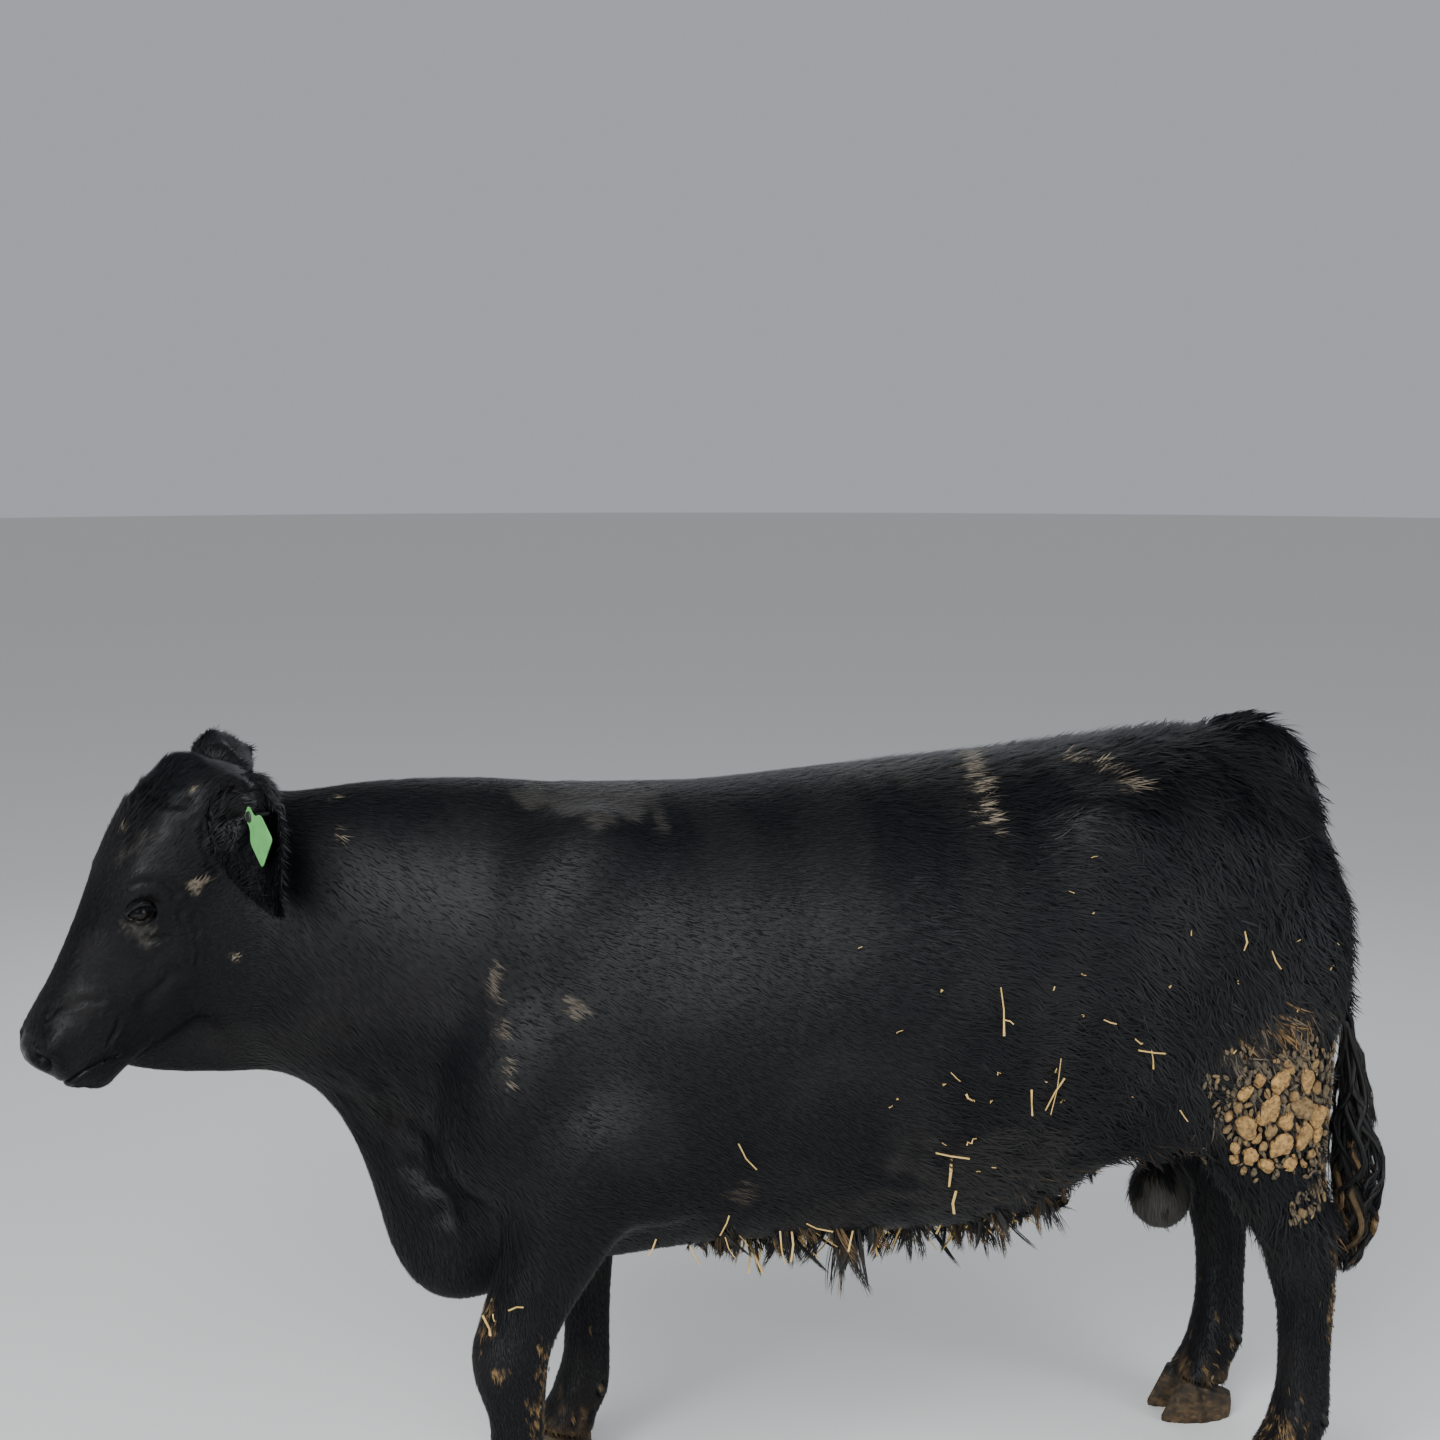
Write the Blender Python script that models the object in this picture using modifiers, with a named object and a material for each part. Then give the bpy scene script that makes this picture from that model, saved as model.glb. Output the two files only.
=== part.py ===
"""A young Angus bull as a still, life-size model, standing square with its head low and turned to its left.

The flesh is modelled whole from lofted sections and muscle masses, fused and smoothed, and then parted with
thin cuts into head, neck, torso, legs and tail. Eyes, claws and the ear tag are pieces of their own, and the
long hair of the belly and tail is built from locks. Metres, +Z up, the head towards -X and the animal's
left side towards -Y, which is the side that is seen. All four feet stand on z = 0.
"""

import math
import random

import bmesh
import bpy
import numpy as np
from mathutils import Matrix, Vector
from mathutils.bvhtree import BVHTree

# Driving sizes
GAP = 0.0003
VOXEL = 0.006
# The smoothing of the fused flesh, broad on the trunk and light all over: factor and rounds.
BROAD_SMOOTHING = (0.6, 110)
LIGHT_SMOOTHING = (0.5, 8)
FLESH_TRIANGLES = 5900
# The middle of the whole model, which becomes the origin.
MIDDLE = Vector((-0.30195, 0, 0))

# The head hangs from the poll. Its own axes run along the face from poll to muzzle, out of the forehead,
# and to the animal's right.
POLL = Vector((-1.166, -0.020, 1.277))
HEAD_TURN = math.radians(20)
FACE_SLOPE = math.radians(61)
FACE_FORWARD = Vector((-math.cos(HEAD_TURN), -math.sin(HEAD_TURN), 0))
HEAD_RIGHT = Vector((-math.sin(HEAD_TURN), math.cos(HEAD_TURN), 0))
FACE_ALONG = FACE_FORWARD * math.cos(FACE_SLOPE) - Vector((0, 0, math.sin(FACE_SLOPE)))
FACE_OUT = HEAD_RIGHT.cross(FACE_ALONG)

EYE_RADIUS = 0.0205
EYE_PLACE = (0.206, -0.050, 0.072)
EYE_OPENING = (0.0195, 0.0105)
EYE_SLANT = math.radians(235)
EYE_BULGE = 0.006
LID_THICKNESS = 0.005
NOSTRIL_PLACE = (0.464, -0.022, 0.044)
NOSTRIL_SIZE = (0.020, 0.015, 0.009)
# The line of the mouth, from the middle of the muzzle to the corner: along the face, out of it, to the side.
MOUTH = (
    (0.484, -0.066, 0.000),
    (0.478, -0.068, 0.030),
    (0.462, -0.070, 0.060),
    (0.438, -0.082, 0.076),
    (0.420, -0.100, 0.070),
    (0.408, -0.120, 0.058),
)
MOUTH_GROOVE = 0.007
EAR_LENGTH = 0.200
EAR_WIDTH = 0.136
EAR_SKIN = 0.006
# How far from its root an ear is parted from the head, and the half size of the plate that parts it.
EAR_CUT = 0.042
EAR_PLATE = (0.066, 0.052)
# Each ear: its root, its direction, and the direction of its upper edge.
EARS = {
    "ear_left": ((-1.051, -0.124, 1.256), (0.14, -0.58, -0.80), (0.60, -0.55, 0.58)),
    "ear_right": ((-1.090, 0.086, 1.214), (0.08, 0.97, 0.08), (-0.34, -0.05, 0.85)),
}
CORONET_HEIGHT = 0.064
CORONET_SLOPE = 0.22
# The half size of the box that cuts a leg off at its coronet.
FOOT_BOX = (0.12, 0.09, 0.06)
# The rings of a claw, coronet to sole: share of the way down, growth forwards and backwards.
CLAW_RINGS = ((0.0, 0.98, 0.98), (0.45, 1.2, 1.02), (0.88, 1.42, 1.0), (1.0, 1.36, 0.96))
CLEFT = 0.007
# A dewclaw: radius at its root, at its tip, and length with what is sunk in.
DEWCLAW = (0.0135, 0.0085, 0.030)
TAG_WIDTH = 0.076
TAG_LENGTH = 0.098
TAG_THICKNESS = 0.0022
TAG_PIN = 0.004
TAG_BUTTON = 0.013
# Where the tag's pin goes through the left ear, along it and up across it, which way the tag hangs, and
# which way its broad side faces.
TAG_PLACE = (0.057, 0.004)
TAG_DOWN = Vector((0.23, -0.71, -0.67))
TAG_FACE = Vector((-0.90, -0.41, -0.03))
# The pin reaches from the button behind the ear to the plate in its cup.
TAG_REACH = (-0.055, -0.004)
TAG_NECK = 0.012
TAG_BUTTON_HEIGHT = 0.0036

# Locks of long hair are flat and taper to their tips.
LOCK_SEED = 7
SWITCH_RINGS = 5
BELLY_RINGS = 4
LOCK_FLATNESS = 0.34
LOCK_SUNK = 0.008
# The switch: how many locks, their half width, the core's share of the way out, where along the switch the
# locks grow, how much of it they run along, and how far they wave to each side.
SWITCH_LOCKS = 28
SWITCH_HALF = (0.009, 0.013)
SWITCH_CORE = 0.46
SWITCH_ROOTS = (0.07, 0.60)
SWITCH_RUN = (0.30, 0.42)
SWITCH_WAVE = 0.32
# The belly: how many locks, their half width and length, where they grow along it and to each side of it.
BELLY_LOCKS = 43
BELLY_HALF = (0.014, 0.019)
BELLY_LENGTH = (0.048, 0.082)
BELLY_ALONG = (-0.370, 0.215)
BELLY_SIDE = 0.150

# Upright sections of the body, rear to front: x, top, bottom, height of the widest place, half width,
# squareness.
TRUNK = (
    (0.600, 1.225, 0.840, 1.05, 0.135, 2.0),
    (0.540, 1.270, 0.735, 1.03, 0.205, 2.2),
    (0.440, 1.282, 0.660, 1.01, 0.240, 2.4),
    (0.330, 1.272, 0.590, 0.97, 0.257, 2.5),
    (0.220, 1.262, 0.530, 0.90, 0.284, 2.5),
    (0.100, 1.252, 0.497, 0.84, 0.312, 2.4),
    (-0.040, 1.244, 0.485, 0.81, 0.326, 2.35),
    (-0.200, 1.233, 0.485, 0.81, 0.320, 2.3),
    (-0.360, 1.220, 0.485, 0.82, 0.292, 2.25),
    (-0.500, 1.222, 0.470, 0.83, 0.262, 2.2),
    (-0.620, 1.218, 0.465, 0.82, 0.236, 2.15),
    (-0.710, 1.170, 0.480, 0.80, 0.190, 2.1),
    (-0.775, 1.040, 0.560, 0.78, 0.120, 2.0),
)
NECK = (
    (-0.420, 1.210, 0.640, 0.94, 0.150, 2.1),
    (-0.560, 1.222, 0.630, 0.94, 0.188, 2.1),
    (-0.680, 1.236, 0.645, 0.95, 0.190, 2.1),
    (-0.790, 1.240, 0.680, 0.97, 0.174, 2.1),
    (-0.890, 1.236, 0.735, 1.00, 0.152, 2.1),
    (-0.980, 1.226, 0.780, 1.02, 0.128, 2.1),
    (-1.060, 1.224, 0.820, 1.03, 0.106, 2.1),
    (-1.120, 1.222, 0.880, 1.05, 0.084, 2.1),
)
# The loose skin of throat, dewlap and brisket: x, top, bottom, widest height, half width, squareness.
DEWLAP = (
    (-1.240, 0.880, 0.812, 0.850, 0.028, 2.0),
    (-1.180, 0.900, 0.800, 0.850, 0.034, 2.0),
    (-1.110, 0.920, 0.794, 0.850, 0.038, 2.0),
    (-1.040, 0.930, 0.788, 0.850, 0.040, 2.0),
    (-0.980, 0.940, 0.768, 0.850, 0.042, 2.0),
    (-0.925, 0.920, 0.705, 0.800, 0.042, 2.0),
    (-0.885, 0.880, 0.610, 0.730, 0.044, 2.0),
    (-0.855, 0.840, 0.500, 0.650, 0.056, 2.0),
    (-0.810, 0.800, 0.430, 0.590, 0.080, 2.1),
    (-0.750, 0.760, 0.405, 0.560, 0.100, 2.2),
    (-0.680, 0.720, 0.418, 0.560, 0.105, 2.2),
    (-0.600, 0.700, 0.450, 0.560, 0.100, 2.2),
)
# Sections across a limb, top to bottom: x, y, z, half width, reach forwards, reach backwards, squareness.
FORELEG = (
    (0.060, 0.200, 0.760, 0.070, 0.120, 0.105, 2.1),
    (0.048, 0.206, 0.660, 0.074, 0.112, 0.100, 2.1),
    (0.030, 0.208, 0.580, 0.068, 0.090, 0.088, 2.1),
    (0.010, 0.208, 0.505, 0.060, 0.072, 0.072, 2.1),
    (0.000, 0.208, 0.445, 0.055, 0.061, 0.062, 2.2),
    (-0.003, 0.208, 0.400, 0.058, 0.062, 0.060, 2.4),
    (0.000, 0.208, 0.355, 0.053, 0.055, 0.055, 2.3),
    (0.004, 0.208, 0.305, 0.043, 0.044, 0.047, 2.1),
    (0.004, 0.208, 0.235, 0.039, 0.041, 0.045, 2.1),
    (0.001, 0.208, 0.175, 0.043, 0.043, 0.048, 2.1),
    (-0.006, 0.208, 0.140, 0.049, 0.048, 0.054, 2.2),
    (-0.021, 0.208, 0.105, 0.046, 0.044, 0.049, 2.2),
    (-0.040, 0.208, 0.060, 0.056, 0.053, 0.062, 2.3),
    (-0.046, 0.208, 0.040, 0.056, 0.053, 0.062, 2.3),
)
HINDLEG = (
    (0.440, 0.150, 0.960, 0.105, 0.150, 0.180, 2.2),
    (0.455, 0.160, 0.850, 0.110, 0.165, 0.190, 2.2),
    (0.475, 0.166, 0.750, 0.100, 0.150, 0.172, 2.2),
    (0.505, 0.168, 0.660, 0.082, 0.118, 0.145, 2.1),
    (0.540, 0.165, 0.580, 0.067, 0.095, 0.110, 2.1),
    (0.574, 0.161, 0.510, 0.056, 0.076, 0.082, 2.1),
    (0.598, 0.158, 0.455, 0.053, 0.064, 0.070, 2.2),
    (0.609, 0.156, 0.405, 0.052, 0.060, 0.061, 2.2),
    (0.617, 0.155, 0.350, 0.047, 0.051, 0.053, 2.1),
    (0.621, 0.154, 0.280, 0.042, 0.046, 0.048, 2.1),
    (0.621, 0.154, 0.195, 0.042, 0.046, 0.049, 2.1),
    (0.616, 0.154, 0.145, 0.050, 0.050, 0.055, 2.2),
    (0.600, 0.154, 0.105, 0.047, 0.045, 0.049, 2.2),
    (0.582, 0.154, 0.060, 0.056, 0.053, 0.062, 2.3),
    (0.576, 0.154, 0.040, 0.056, 0.053, 0.062, 2.3),
)
NEAR_FORE_X = -0.684
NEAR_FORE_STEP = 0.075
FAR_FORE_X = -0.520
# Each foot: its leg's name, the sections, where the leg stands, which side.
FEET = {
    "foreleg_left": (FORELEG, NEAR_FORE_X, -1),
    "foreleg_right": (FORELEG, FAR_FORE_X, 1),
    "hindleg_left": (HINDLEG, 0.0, -1),
    "hindleg_right": (HINDLEG, 0.0, 1),
}
# The tail's path, tail head to switch: x, y, z, half width, reach one way, the other, squareness.
# Its first rows are fused into the rump, and it leaves the rump as a node of its own.
TAIL = (
    (0.470, 0.000, 1.236, 0.056, 0.046, 0.040, 2.0),
    (0.545, 0.000, 1.256, 0.050, 0.042, 0.040, 2.0),
    (0.606, -0.002, 1.246, 0.040, 0.040, 0.040, 2.0),
    (0.650, -0.006, 1.185, 0.032, 0.032, 0.034, 2.0),
    (0.678, -0.016, 1.090, 0.028, 0.026, 0.028, 2.0),
    (0.700, -0.034, 0.980, 0.026, 0.024, 0.026, 2.0),
    (0.713, -0.056, 0.870, 0.023, 0.022, 0.023, 2.0),
    (0.716, -0.076, 0.760, 0.021, 0.020, 0.021, 2.0),
)
SWITCH = (
    (0.7160, -0.0761, 0.7594, 0.020, 0.020, 0.020, 2.0),
    (0.7184, -0.0915, 0.665, 0.032, 0.030, 0.030, 2.0),
    (0.728, -0.100, 0.570, 0.042, 0.038, 0.038, 2.0),
    (0.732, -0.104, 0.480, 0.036, 0.033, 0.033, 2.0),
    (0.728, -0.105, 0.420, 0.022, 0.020, 0.020, 2.0),
    (0.722, -0.105, 0.375, 0.005, 0.005, 0.005, 2.0),
)
FUSED_TAIL_ROWS = 3
TAIL_ROOT_ROW = 1
SWITCH_ROW = 7
# The head's sections: along the face, out of it, half width, reach outwards, reach inwards, squareness.
HEAD = (
    (-0.022, -0.060, 0.056, 0.036, 0.060, 2.0),
    (0.004, -0.070, 0.082, 0.066, 0.095, 2.2),
    (0.055, -0.080, 0.098, 0.090, 0.130, 2.5),
    (0.115, -0.086, 0.102, 0.100, 0.155, 2.7),
    (0.175, -0.090, 0.094, 0.101, 0.170, 2.6),
    (0.235, -0.088, 0.080, 0.095, 0.165, 2.5),
    (0.300, -0.080, 0.069, 0.083, 0.138, 2.4),
    (0.360, -0.070, 0.065, 0.071, 0.108, 2.3),
    (0.410, -0.066, 0.072, 0.065, 0.092, 2.5),
    (0.440, -0.066, 0.074, 0.053, 0.084, 2.6),
    (0.466, -0.068, 0.056, 0.036, 0.060, 2.3),
)
JAW = (
    (0.120, -0.190, 0.058, 0.060, 0.050, 2.0),
    (0.180, -0.215, 0.068, 0.080, 0.050, 2.2),
    (0.240, -0.208, 0.066, 0.090, 0.048, 2.2),
    (0.300, -0.184, 0.056, 0.080, 0.044, 2.2),
    (0.360, -0.154, 0.050, 0.060, 0.036, 2.2),
    (0.410, -0.132, 0.052, 0.050, 0.028, 2.2),
    (0.446, -0.116, 0.046, 0.040, 0.028, 2.2),
    (0.468, -0.108, 0.030, 0.024, 0.020, 2.0),
)

# Masses of muscle and bone: centre, half sizes, tilt about Y in degrees, and whether it is on both sides.
BODY_MASSES = {
    "shoulder blade": ((-0.590, 0.128, 0.970), (0.170, 0.100, 0.250), 18, True),
    "shoulder muscle": ((-0.640, 0.170, 0.800), (0.140, 0.090, 0.190), 20, True),
    "point of shoulder": ((-0.715, 0.150, 0.710), (0.075, 0.075, 0.090), 0, True),
    "upper arm": ((-0.530, 0.210, 0.710), (0.150, 0.080, 0.120), -20, True),
    "elbow": ((-0.465, 0.225, 0.640), (0.050, 0.040, 0.065), 0, True),
    "hook bone": ((0.225, 0.185, 1.160), (0.110, 0.060, 0.065), 0, True),
    "rump": ((0.390, 0.120, 1.120), (0.220, 0.120, 0.130), 4, True),
    "thigh": ((0.500, 0.150, 0.900), (0.178, 0.120, 0.280), 6, True),
    "pin bone": ((0.585, 0.090, 1.130), (0.070, 0.050, 0.080), 0, True),
    "buttock": ((0.590, 0.110, 0.950), (0.090, 0.080, 0.170), 0, True),
    "stifle": ((0.360, 0.205, 0.735), (0.090, 0.060, 0.120), 15, True),
    "flank fold": ((0.290, 0.215, 0.720), (0.130, 0.034, 0.110), 40, True),
    "point of hock": ((0.658, 0.158, 0.478), (0.022, 0.022, 0.042), 10, True),
    "scrotum": ((0.430, 0.000, 0.490), (0.062, 0.064, 0.074), 0, False),
    "scrotum neck": ((0.430, 0.000, 0.580), (0.036, 0.034, 0.100), 0, False),
    "belly skin": ((-0.040, 0.000, 0.480), (0.330, 0.110, 0.026), 0, False),
    "sheath": ((0.120, 0.000, 0.490), (0.150, 0.042, 0.050), 8, False),
}
# The same on the head, with centres and half sizes in the head's own axes.
HEAD_MASSES = {
    "brow": ((0.165, -0.034, 0.064), (0.050, 0.036, 0.032), True),
    "eye socket rim": ((0.206, -0.052, 0.062), (0.036, 0.036, 0.029), True),
    "cheek": ((0.190, -0.160, 0.056), (0.095, 0.085, 0.040), True),
    "cheek ridge": ((0.290, -0.085, 0.050), (0.070, 0.024, 0.026), True),
    "nostril wing": ((0.424, -0.032, 0.044), (0.036, 0.027, 0.030), True),
    "upper lip": ((0.436, -0.078, 0.048), (0.044, 0.030, 0.032), True),
    "muzzle pad": ((0.440, -0.048, 0.000), (0.034, 0.048, 0.052), False),
    "lower lip": ((0.430, -0.112, 0.034), (0.042, 0.030, 0.030), True),
    "chin": ((0.440, -0.124, 0.000), (0.036, 0.030, 0.046), False),
    "poll knob": ((0.012, -0.054, 0.000), (0.045, 0.052, 0.056), False),
    "ear base": ((0.012, -0.098, 0.090), (0.050, 0.046, 0.040), True),
}


def on_head(along, out, right):
    """A point of the head, from its own axes."""
    return POLL + FACE_ALONG * along + FACE_OUT * out + HEAD_RIGHT * right


HEAD_AXES = Matrix((FACE_ALONG, FACE_OUT, HEAD_RIGHT)).transposed().to_4x4()


def through(rows, steps):
    """A smooth run of rows through the given ones, by Catmull and Rom's rule."""
    rows = np.array(rows, float)
    last = len(rows) - 1
    run = []
    for i in range(last):
        a, b, c, d = rows[max(i - 1, 0)], rows[i], rows[i + 1], rows[min(i + 2, last)]
        for t in np.arange(steps) / steps:
            bend = 2 * a - 5 * b + 4 * c - d + t * (3 * (b - c) + d - a)
            run.append(b + 0.5 * t * (c - a + t * bend))
    return np.array(run + [rows[-1]])


def loft(bm, rows, side=Vector((0, 1, 0)), up=None, spokes=28, steps=3):
    """A closed tube through sections, each a superellipse, upright or else across the path."""
    run = through(rows, steps)
    loops = []
    for i, row in enumerate(run):
        centre = Vector(row[:3])
        ahead = Vector(run[min(i + 1, len(run) - 1)][:3]) - Vector(run[max(i - 1, 0)][:3])
        rise = up or side.cross(ahead).normalized()
        half, out, back, square = row[3:]
        ring = bmesh.ops.create_circle(bm, segments=spokes, radius=1)["verts"]
        for vert in ring:
            across = math.copysign(abs(vert.co.x) ** (2 / square), vert.co.x)
            along = math.copysign(abs(vert.co.y) ** (2 / square), vert.co.y)
            vert.co = centre + side * half * across + rise * (out if along > 0 else back) * along
        loops.append(list({edge for vert in ring for edge in vert.link_edges}))
    for first, second in zip(loops, loops[1:]):
        bmesh.ops.bridge_loops(bm, edges=first + second)
    for end in (loops[0], loops[-1]):
        bmesh.ops.contextual_create(bm, geom=end)


def upright(rows):
    """Upright sections as a loft reads them."""
    return [
        (x, 0, widest, half, top - widest, widest - bottom, square)
        for x, top, bottom, widest, half, square in rows
    ]


def head_rows(rows):
    """Head sections as a loft reads them."""
    return [(*on_head(along, out, 0), half, up, down, square) for along, out, half, up, down, square in rows]


def leg_rows(rows, x, side, step=0.0):
    """A leg's sections, moved to x and to one side, its top end reaching back by the step."""
    top, bottom = rows[0][2], rows[5][2]
    placed = []
    for dx, y, z, *rest in rows:
        lean = step * max(0, (z - bottom) / (top - bottom))
        placed.append((x + dx + lean, side * y, z, *rest))
    return placed


def ellipsoid(bm, place, half, u=20, v=12):
    bmesh.ops.create_uvsphere(
        bm, u_segments=u, v_segments=v, radius=1, matrix=place @ Matrix.Diagonal((*half, 1))
    )


def flesh_lumps():
    """All lofts and masses of the flesh in one mesh, still overlapping."""
    bm = bmesh.new()
    for rows in (TRUNK, NECK, DEWLAP):
        loft(bm, upright(rows), up=Vector((0, 0, 1)))
    loft(bm, TAIL[:FUSED_TAIL_ROWS], spokes=16)
    for side in (-1, 1):
        loft(bm, leg_rows(HINDLEG, 0, side), spokes=20)
    loft(bm, leg_rows(FORELEG, NEAR_FORE_X, -1, NEAR_FORE_STEP), spokes=20)
    loft(bm, leg_rows(FORELEG, FAR_FORE_X, 1), spokes=20)
    for rows in (HEAD, JAW):
        loft(bm, head_rows(rows), side=HEAD_RIGHT, spokes=24)
    for centre, half, tilt, both in BODY_MASSES.values():
        for side in (1, -1) if both else (1,):
            place = Matrix.Translation((centre[0], side * centre[1], centre[2]))
            ellipsoid(bm, place @ Matrix.Rotation(math.radians(tilt), 4, "Y"), half)
    for centre, half, both in HEAD_MASSES.values():
        for side in (1, -1) if both else (1,):
            place = Matrix.Translation(on_head(centre[0], centre[1], side * centre[2]))
            ellipsoid(bm, place @ HEAD_AXES, half)
    bmesh.ops.recalc_face_normals(bm, faces=bm.faces)
    return bm


def mesh_object(name, bm):
    mesh = bpy.data.meshes.new(name)
    bm.to_mesh(mesh)
    bm.free()
    obj = bpy.data.objects.new(name, mesh)
    bpy.context.scene.collection.objects.link(obj)
    return obj


def settle(obj):
    """Makes an object's modifiers part of its mesh."""
    graph = bpy.context.evaluated_depsgraph_get()
    mesh = bpy.data.meshes.new_from_object(obj.evaluated_get(graph))
    obj.modifiers.clear()
    old = obj.data
    obj.data = mesh
    bpy.data.meshes.remove(old)


def ramp(value, start, end):
    return min(1.0, max(0.0, (value - start) / (end - start)))


def broad_weight(point):
    """How strongly a point is smoothed: fully on trunk and neck, not on head, tail and lower legs."""
    rest = ramp(point.z, 0.50, 0.66) * ramp(point.x, -1.12, -0.98) * (1 - ramp(point.x, 0.62, 0.66))
    return rest * (1 - 0.8 * ramp(-abs(point.y), -0.06, -0.03) * ramp(-point.z, -0.86, -0.80))


def soften(obj, group, factor, rounds):
    smooth = obj.modifiers.new("soften", "SMOOTH")
    smooth.factor = factor
    smooth.iterations = rounds
    if group:
        smooth.vertex_group = group.name


def make_flesh():
    """The whole flesh as one closed surface of few triangles."""
    flesh = mesh_object("flesh", flesh_lumps())
    remesh = flesh.modifiers.new("fuse", "REMESH")
    remesh.mode = "VOXEL"
    remesh.voxel_size = VOXEL
    settle(flesh)
    broad = flesh.vertex_groups.new(name="broad")
    for vert in flesh.data.vertices:
        weight = broad_weight(vert.co)
        if weight > 0:
            broad.add([vert.index], weight, "REPLACE")
    soften(flesh, broad, *BROAD_SMOOTHING)
    soften(flesh, None, *LIGHT_SMOOTHING)
    settle(flesh)
    thin = flesh.modifiers.new("thin", "DECIMATE")
    thin.ratio = FLESH_TRIANGLES / (2 * len(flesh.data.polygons))
    thin.use_collapse_triangulate = True
    settle(flesh)
    return flesh


def frame_of(origin, x_axis, y_hint):
    """A placing matrix with its X along x_axis and its Y as near as may be to y_hint."""
    x = Vector(x_axis).normalized()
    z = x.cross(Vector(y_hint)).normalized()
    y = z.cross(x)
    return Matrix.Translation(origin) @ Matrix((x, y, z)).transposed().to_4x4()


def ear_frame(name):
    return frame_of(*EARS[name])


def ear_row(t):
    """Half width and curl of the ear at a share t of its length."""
    width = EAR_WIDTH / 2 * (0.42 + 0.58 * math.sin(math.pi * min(1, t / 0.9) ** 0.8) ** 0.9)
    width *= math.sqrt(max(0, 1 - t**5)) if t > 0.5 else 1
    curl = math.radians(125 - 80 * min(1, t / 0.40))
    return max(width, 0.006), curl


def ear_mesh(side, rings=9, arcs=7):
    """A cupped leaf with a wall of even thickness, its root a closed stub, open towards its own Z."""
    bm = bmesh.new()
    loops = []
    for i in range(rings):
        t = i / (rings - 1)
        half, curl = ear_row(t)
        radius = half / math.sin(min(curl, math.pi / 2))
        sag = -0.030 * t * t
        ring = []
        for wall, order in ((0.5, 1), (-0.5, -1)):
            reach = radius + wall * EAR_SKIN * (1 if t < 0.9 else 0.7)
            for k in range(arcs)[::order]:
                turn = curl * (2 * k / (arcs - 1) - 1)
                depth = radius * (0.25 + 0.65 * math.cos(curl)) - math.cos(turn) * reach
                ring.append(bm.verts.new((t * EAR_LENGTH, reach * math.sin(turn), side * (depth + sag))))
        loops.append([bm.edges.new((a, b)) for a, b in zip(ring, ring[1:] + ring[:1])])
    for first, second in zip(loops, loops[1:]):
        bmesh.ops.bridge_loops(bm, edges=first + second)
    for end in (loops[0], loops[-1]):
        bmesh.ops.contextual_create(bm, geom=end)
    bmesh.ops.triangulate(bm, faces=bm.faces)
    bmesh.ops.recalc_face_normals(bm, faces=bm.faces)
    return bm


def cone_along(bm, place, base, tip, length, sides=10):
    """A capped cone whose base is at the placing matrix's origin and whose tip is along its X."""
    turn = Matrix.Rotation(math.radians(90), 4, "Y") @ Matrix.Translation((0, 0, length / 2))
    bmesh.ops.create_cone(
        bm, cap_ends=True, segments=sides, radius1=base, radius2=tip, depth=length, matrix=place @ turn
    )


def box(bm, place, half):
    bmesh.ops.create_cube(bm, size=2, matrix=place @ Matrix.Diagonal((*half, 1)))


def joint_cuts():
    """The thin plates that part the flesh: centre, normal, direction, reach along it, reach across it."""
    cuts = [
        ((-1.012, 0, 1.00), (1, 0, 0), (0, 0, 1), 0.36, 0.160),
        ((-0.690, 0, 0.93), (0.932, 0, -0.363), (0, 0, 1), 0.62, 0.360),
        ((0.430, 0, 0.575), (0, 0, 1), (1, 0, 0), 0.080, 0.055),
    ]
    for side in (-1, 1):
        fore_x = NEAR_FORE_X + 0.06 if side < 0 else FAR_FORE_X
        cuts.append(((fore_x, side * 0.2275, 0.530), (0, -side * 0.756, 0.654), (1, 0, 0), 0.20, 0.172))
        cuts.append(((0.460, side * 0.211, 0.7565), (-1, -side * 0.9, 1), (1, 0, 1), 0.36, 0.200))
        knee_x = NEAR_FORE_X if side < 0 else FAR_FORE_X
        cuts.append(((knee_x, side * 0.208, 0.335), (0, 0, 1), (1, 0, 0), 0.09, 0.09))
        cuts.append(((0.612, side * 0.155, 0.385), (0, 0, 1), (1, 0, 0), 0.09, 0.09))
    return cuts


def foot_place(rows, x, side):
    """Where a foot's coronet is: the lowest section of its leg."""
    dx, y, _, half, front, back, _ = rows[-1]
    return Vector((x + dx, side * y, CORONET_HEIGHT)), half, front, back


def claw_mesh(outer, half, front, back, drop=GAP, spokes=12):
    """One claw about its foot's centre: D-shaped rings from the sloping coronet to a flat sole."""
    bm = bmesh.new()
    loops = []
    for share, grow_front, grow_back in CLAW_RINGS:
        ring = []
        for k in range(spokes):
            turn = 2 * math.pi * k / spokes
            x = -math.cos(turn) * (front * grow_front if math.cos(turn) > 0 else back * grow_back)
            reach = (half - CLEFT / 2) / 2
            bulge = math.sin(turn) * (1 if math.sin(turn) > 0 else 0.92)
            y = CLEFT / 2 + reach + reach * math.copysign(abs(bulge) ** 0.8, bulge)
            top = CORONET_HEIGHT - CORONET_SLOPE * x - drop
            ring.append(bm.verts.new((x, outer * y, top * (1 - share))))
        loops.append([bm.edges.new((a, b)) for a, b in zip(ring, ring[1:] + ring[:1])])
    for first, second in zip(loops, loops[1:]):
        bmesh.ops.bridge_loops(bm, edges=first + second)
    for end in (loops[0], loops[-1]):
        bmesh.ops.contextual_create(bm, geom=end)
    bmesh.ops.triangulate(bm, faces=bm.faces)
    bmesh.ops.recalc_face_normals(bm, faces=bm.faces)
    return bm


def dewclaw_place(rows, x, side, outer):
    """The place and outward direction of a dewclaw, behind its fetlock."""
    dx, y, z, half, _, back, _ = rows[-4]
    point = Vector((x + dx + back * 0.45, side * y + outer * half * 0.50, z + 0.010))
    return frame_of(point, (0.70, outer * 0.42, -0.58), (0, 1, 0))


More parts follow.
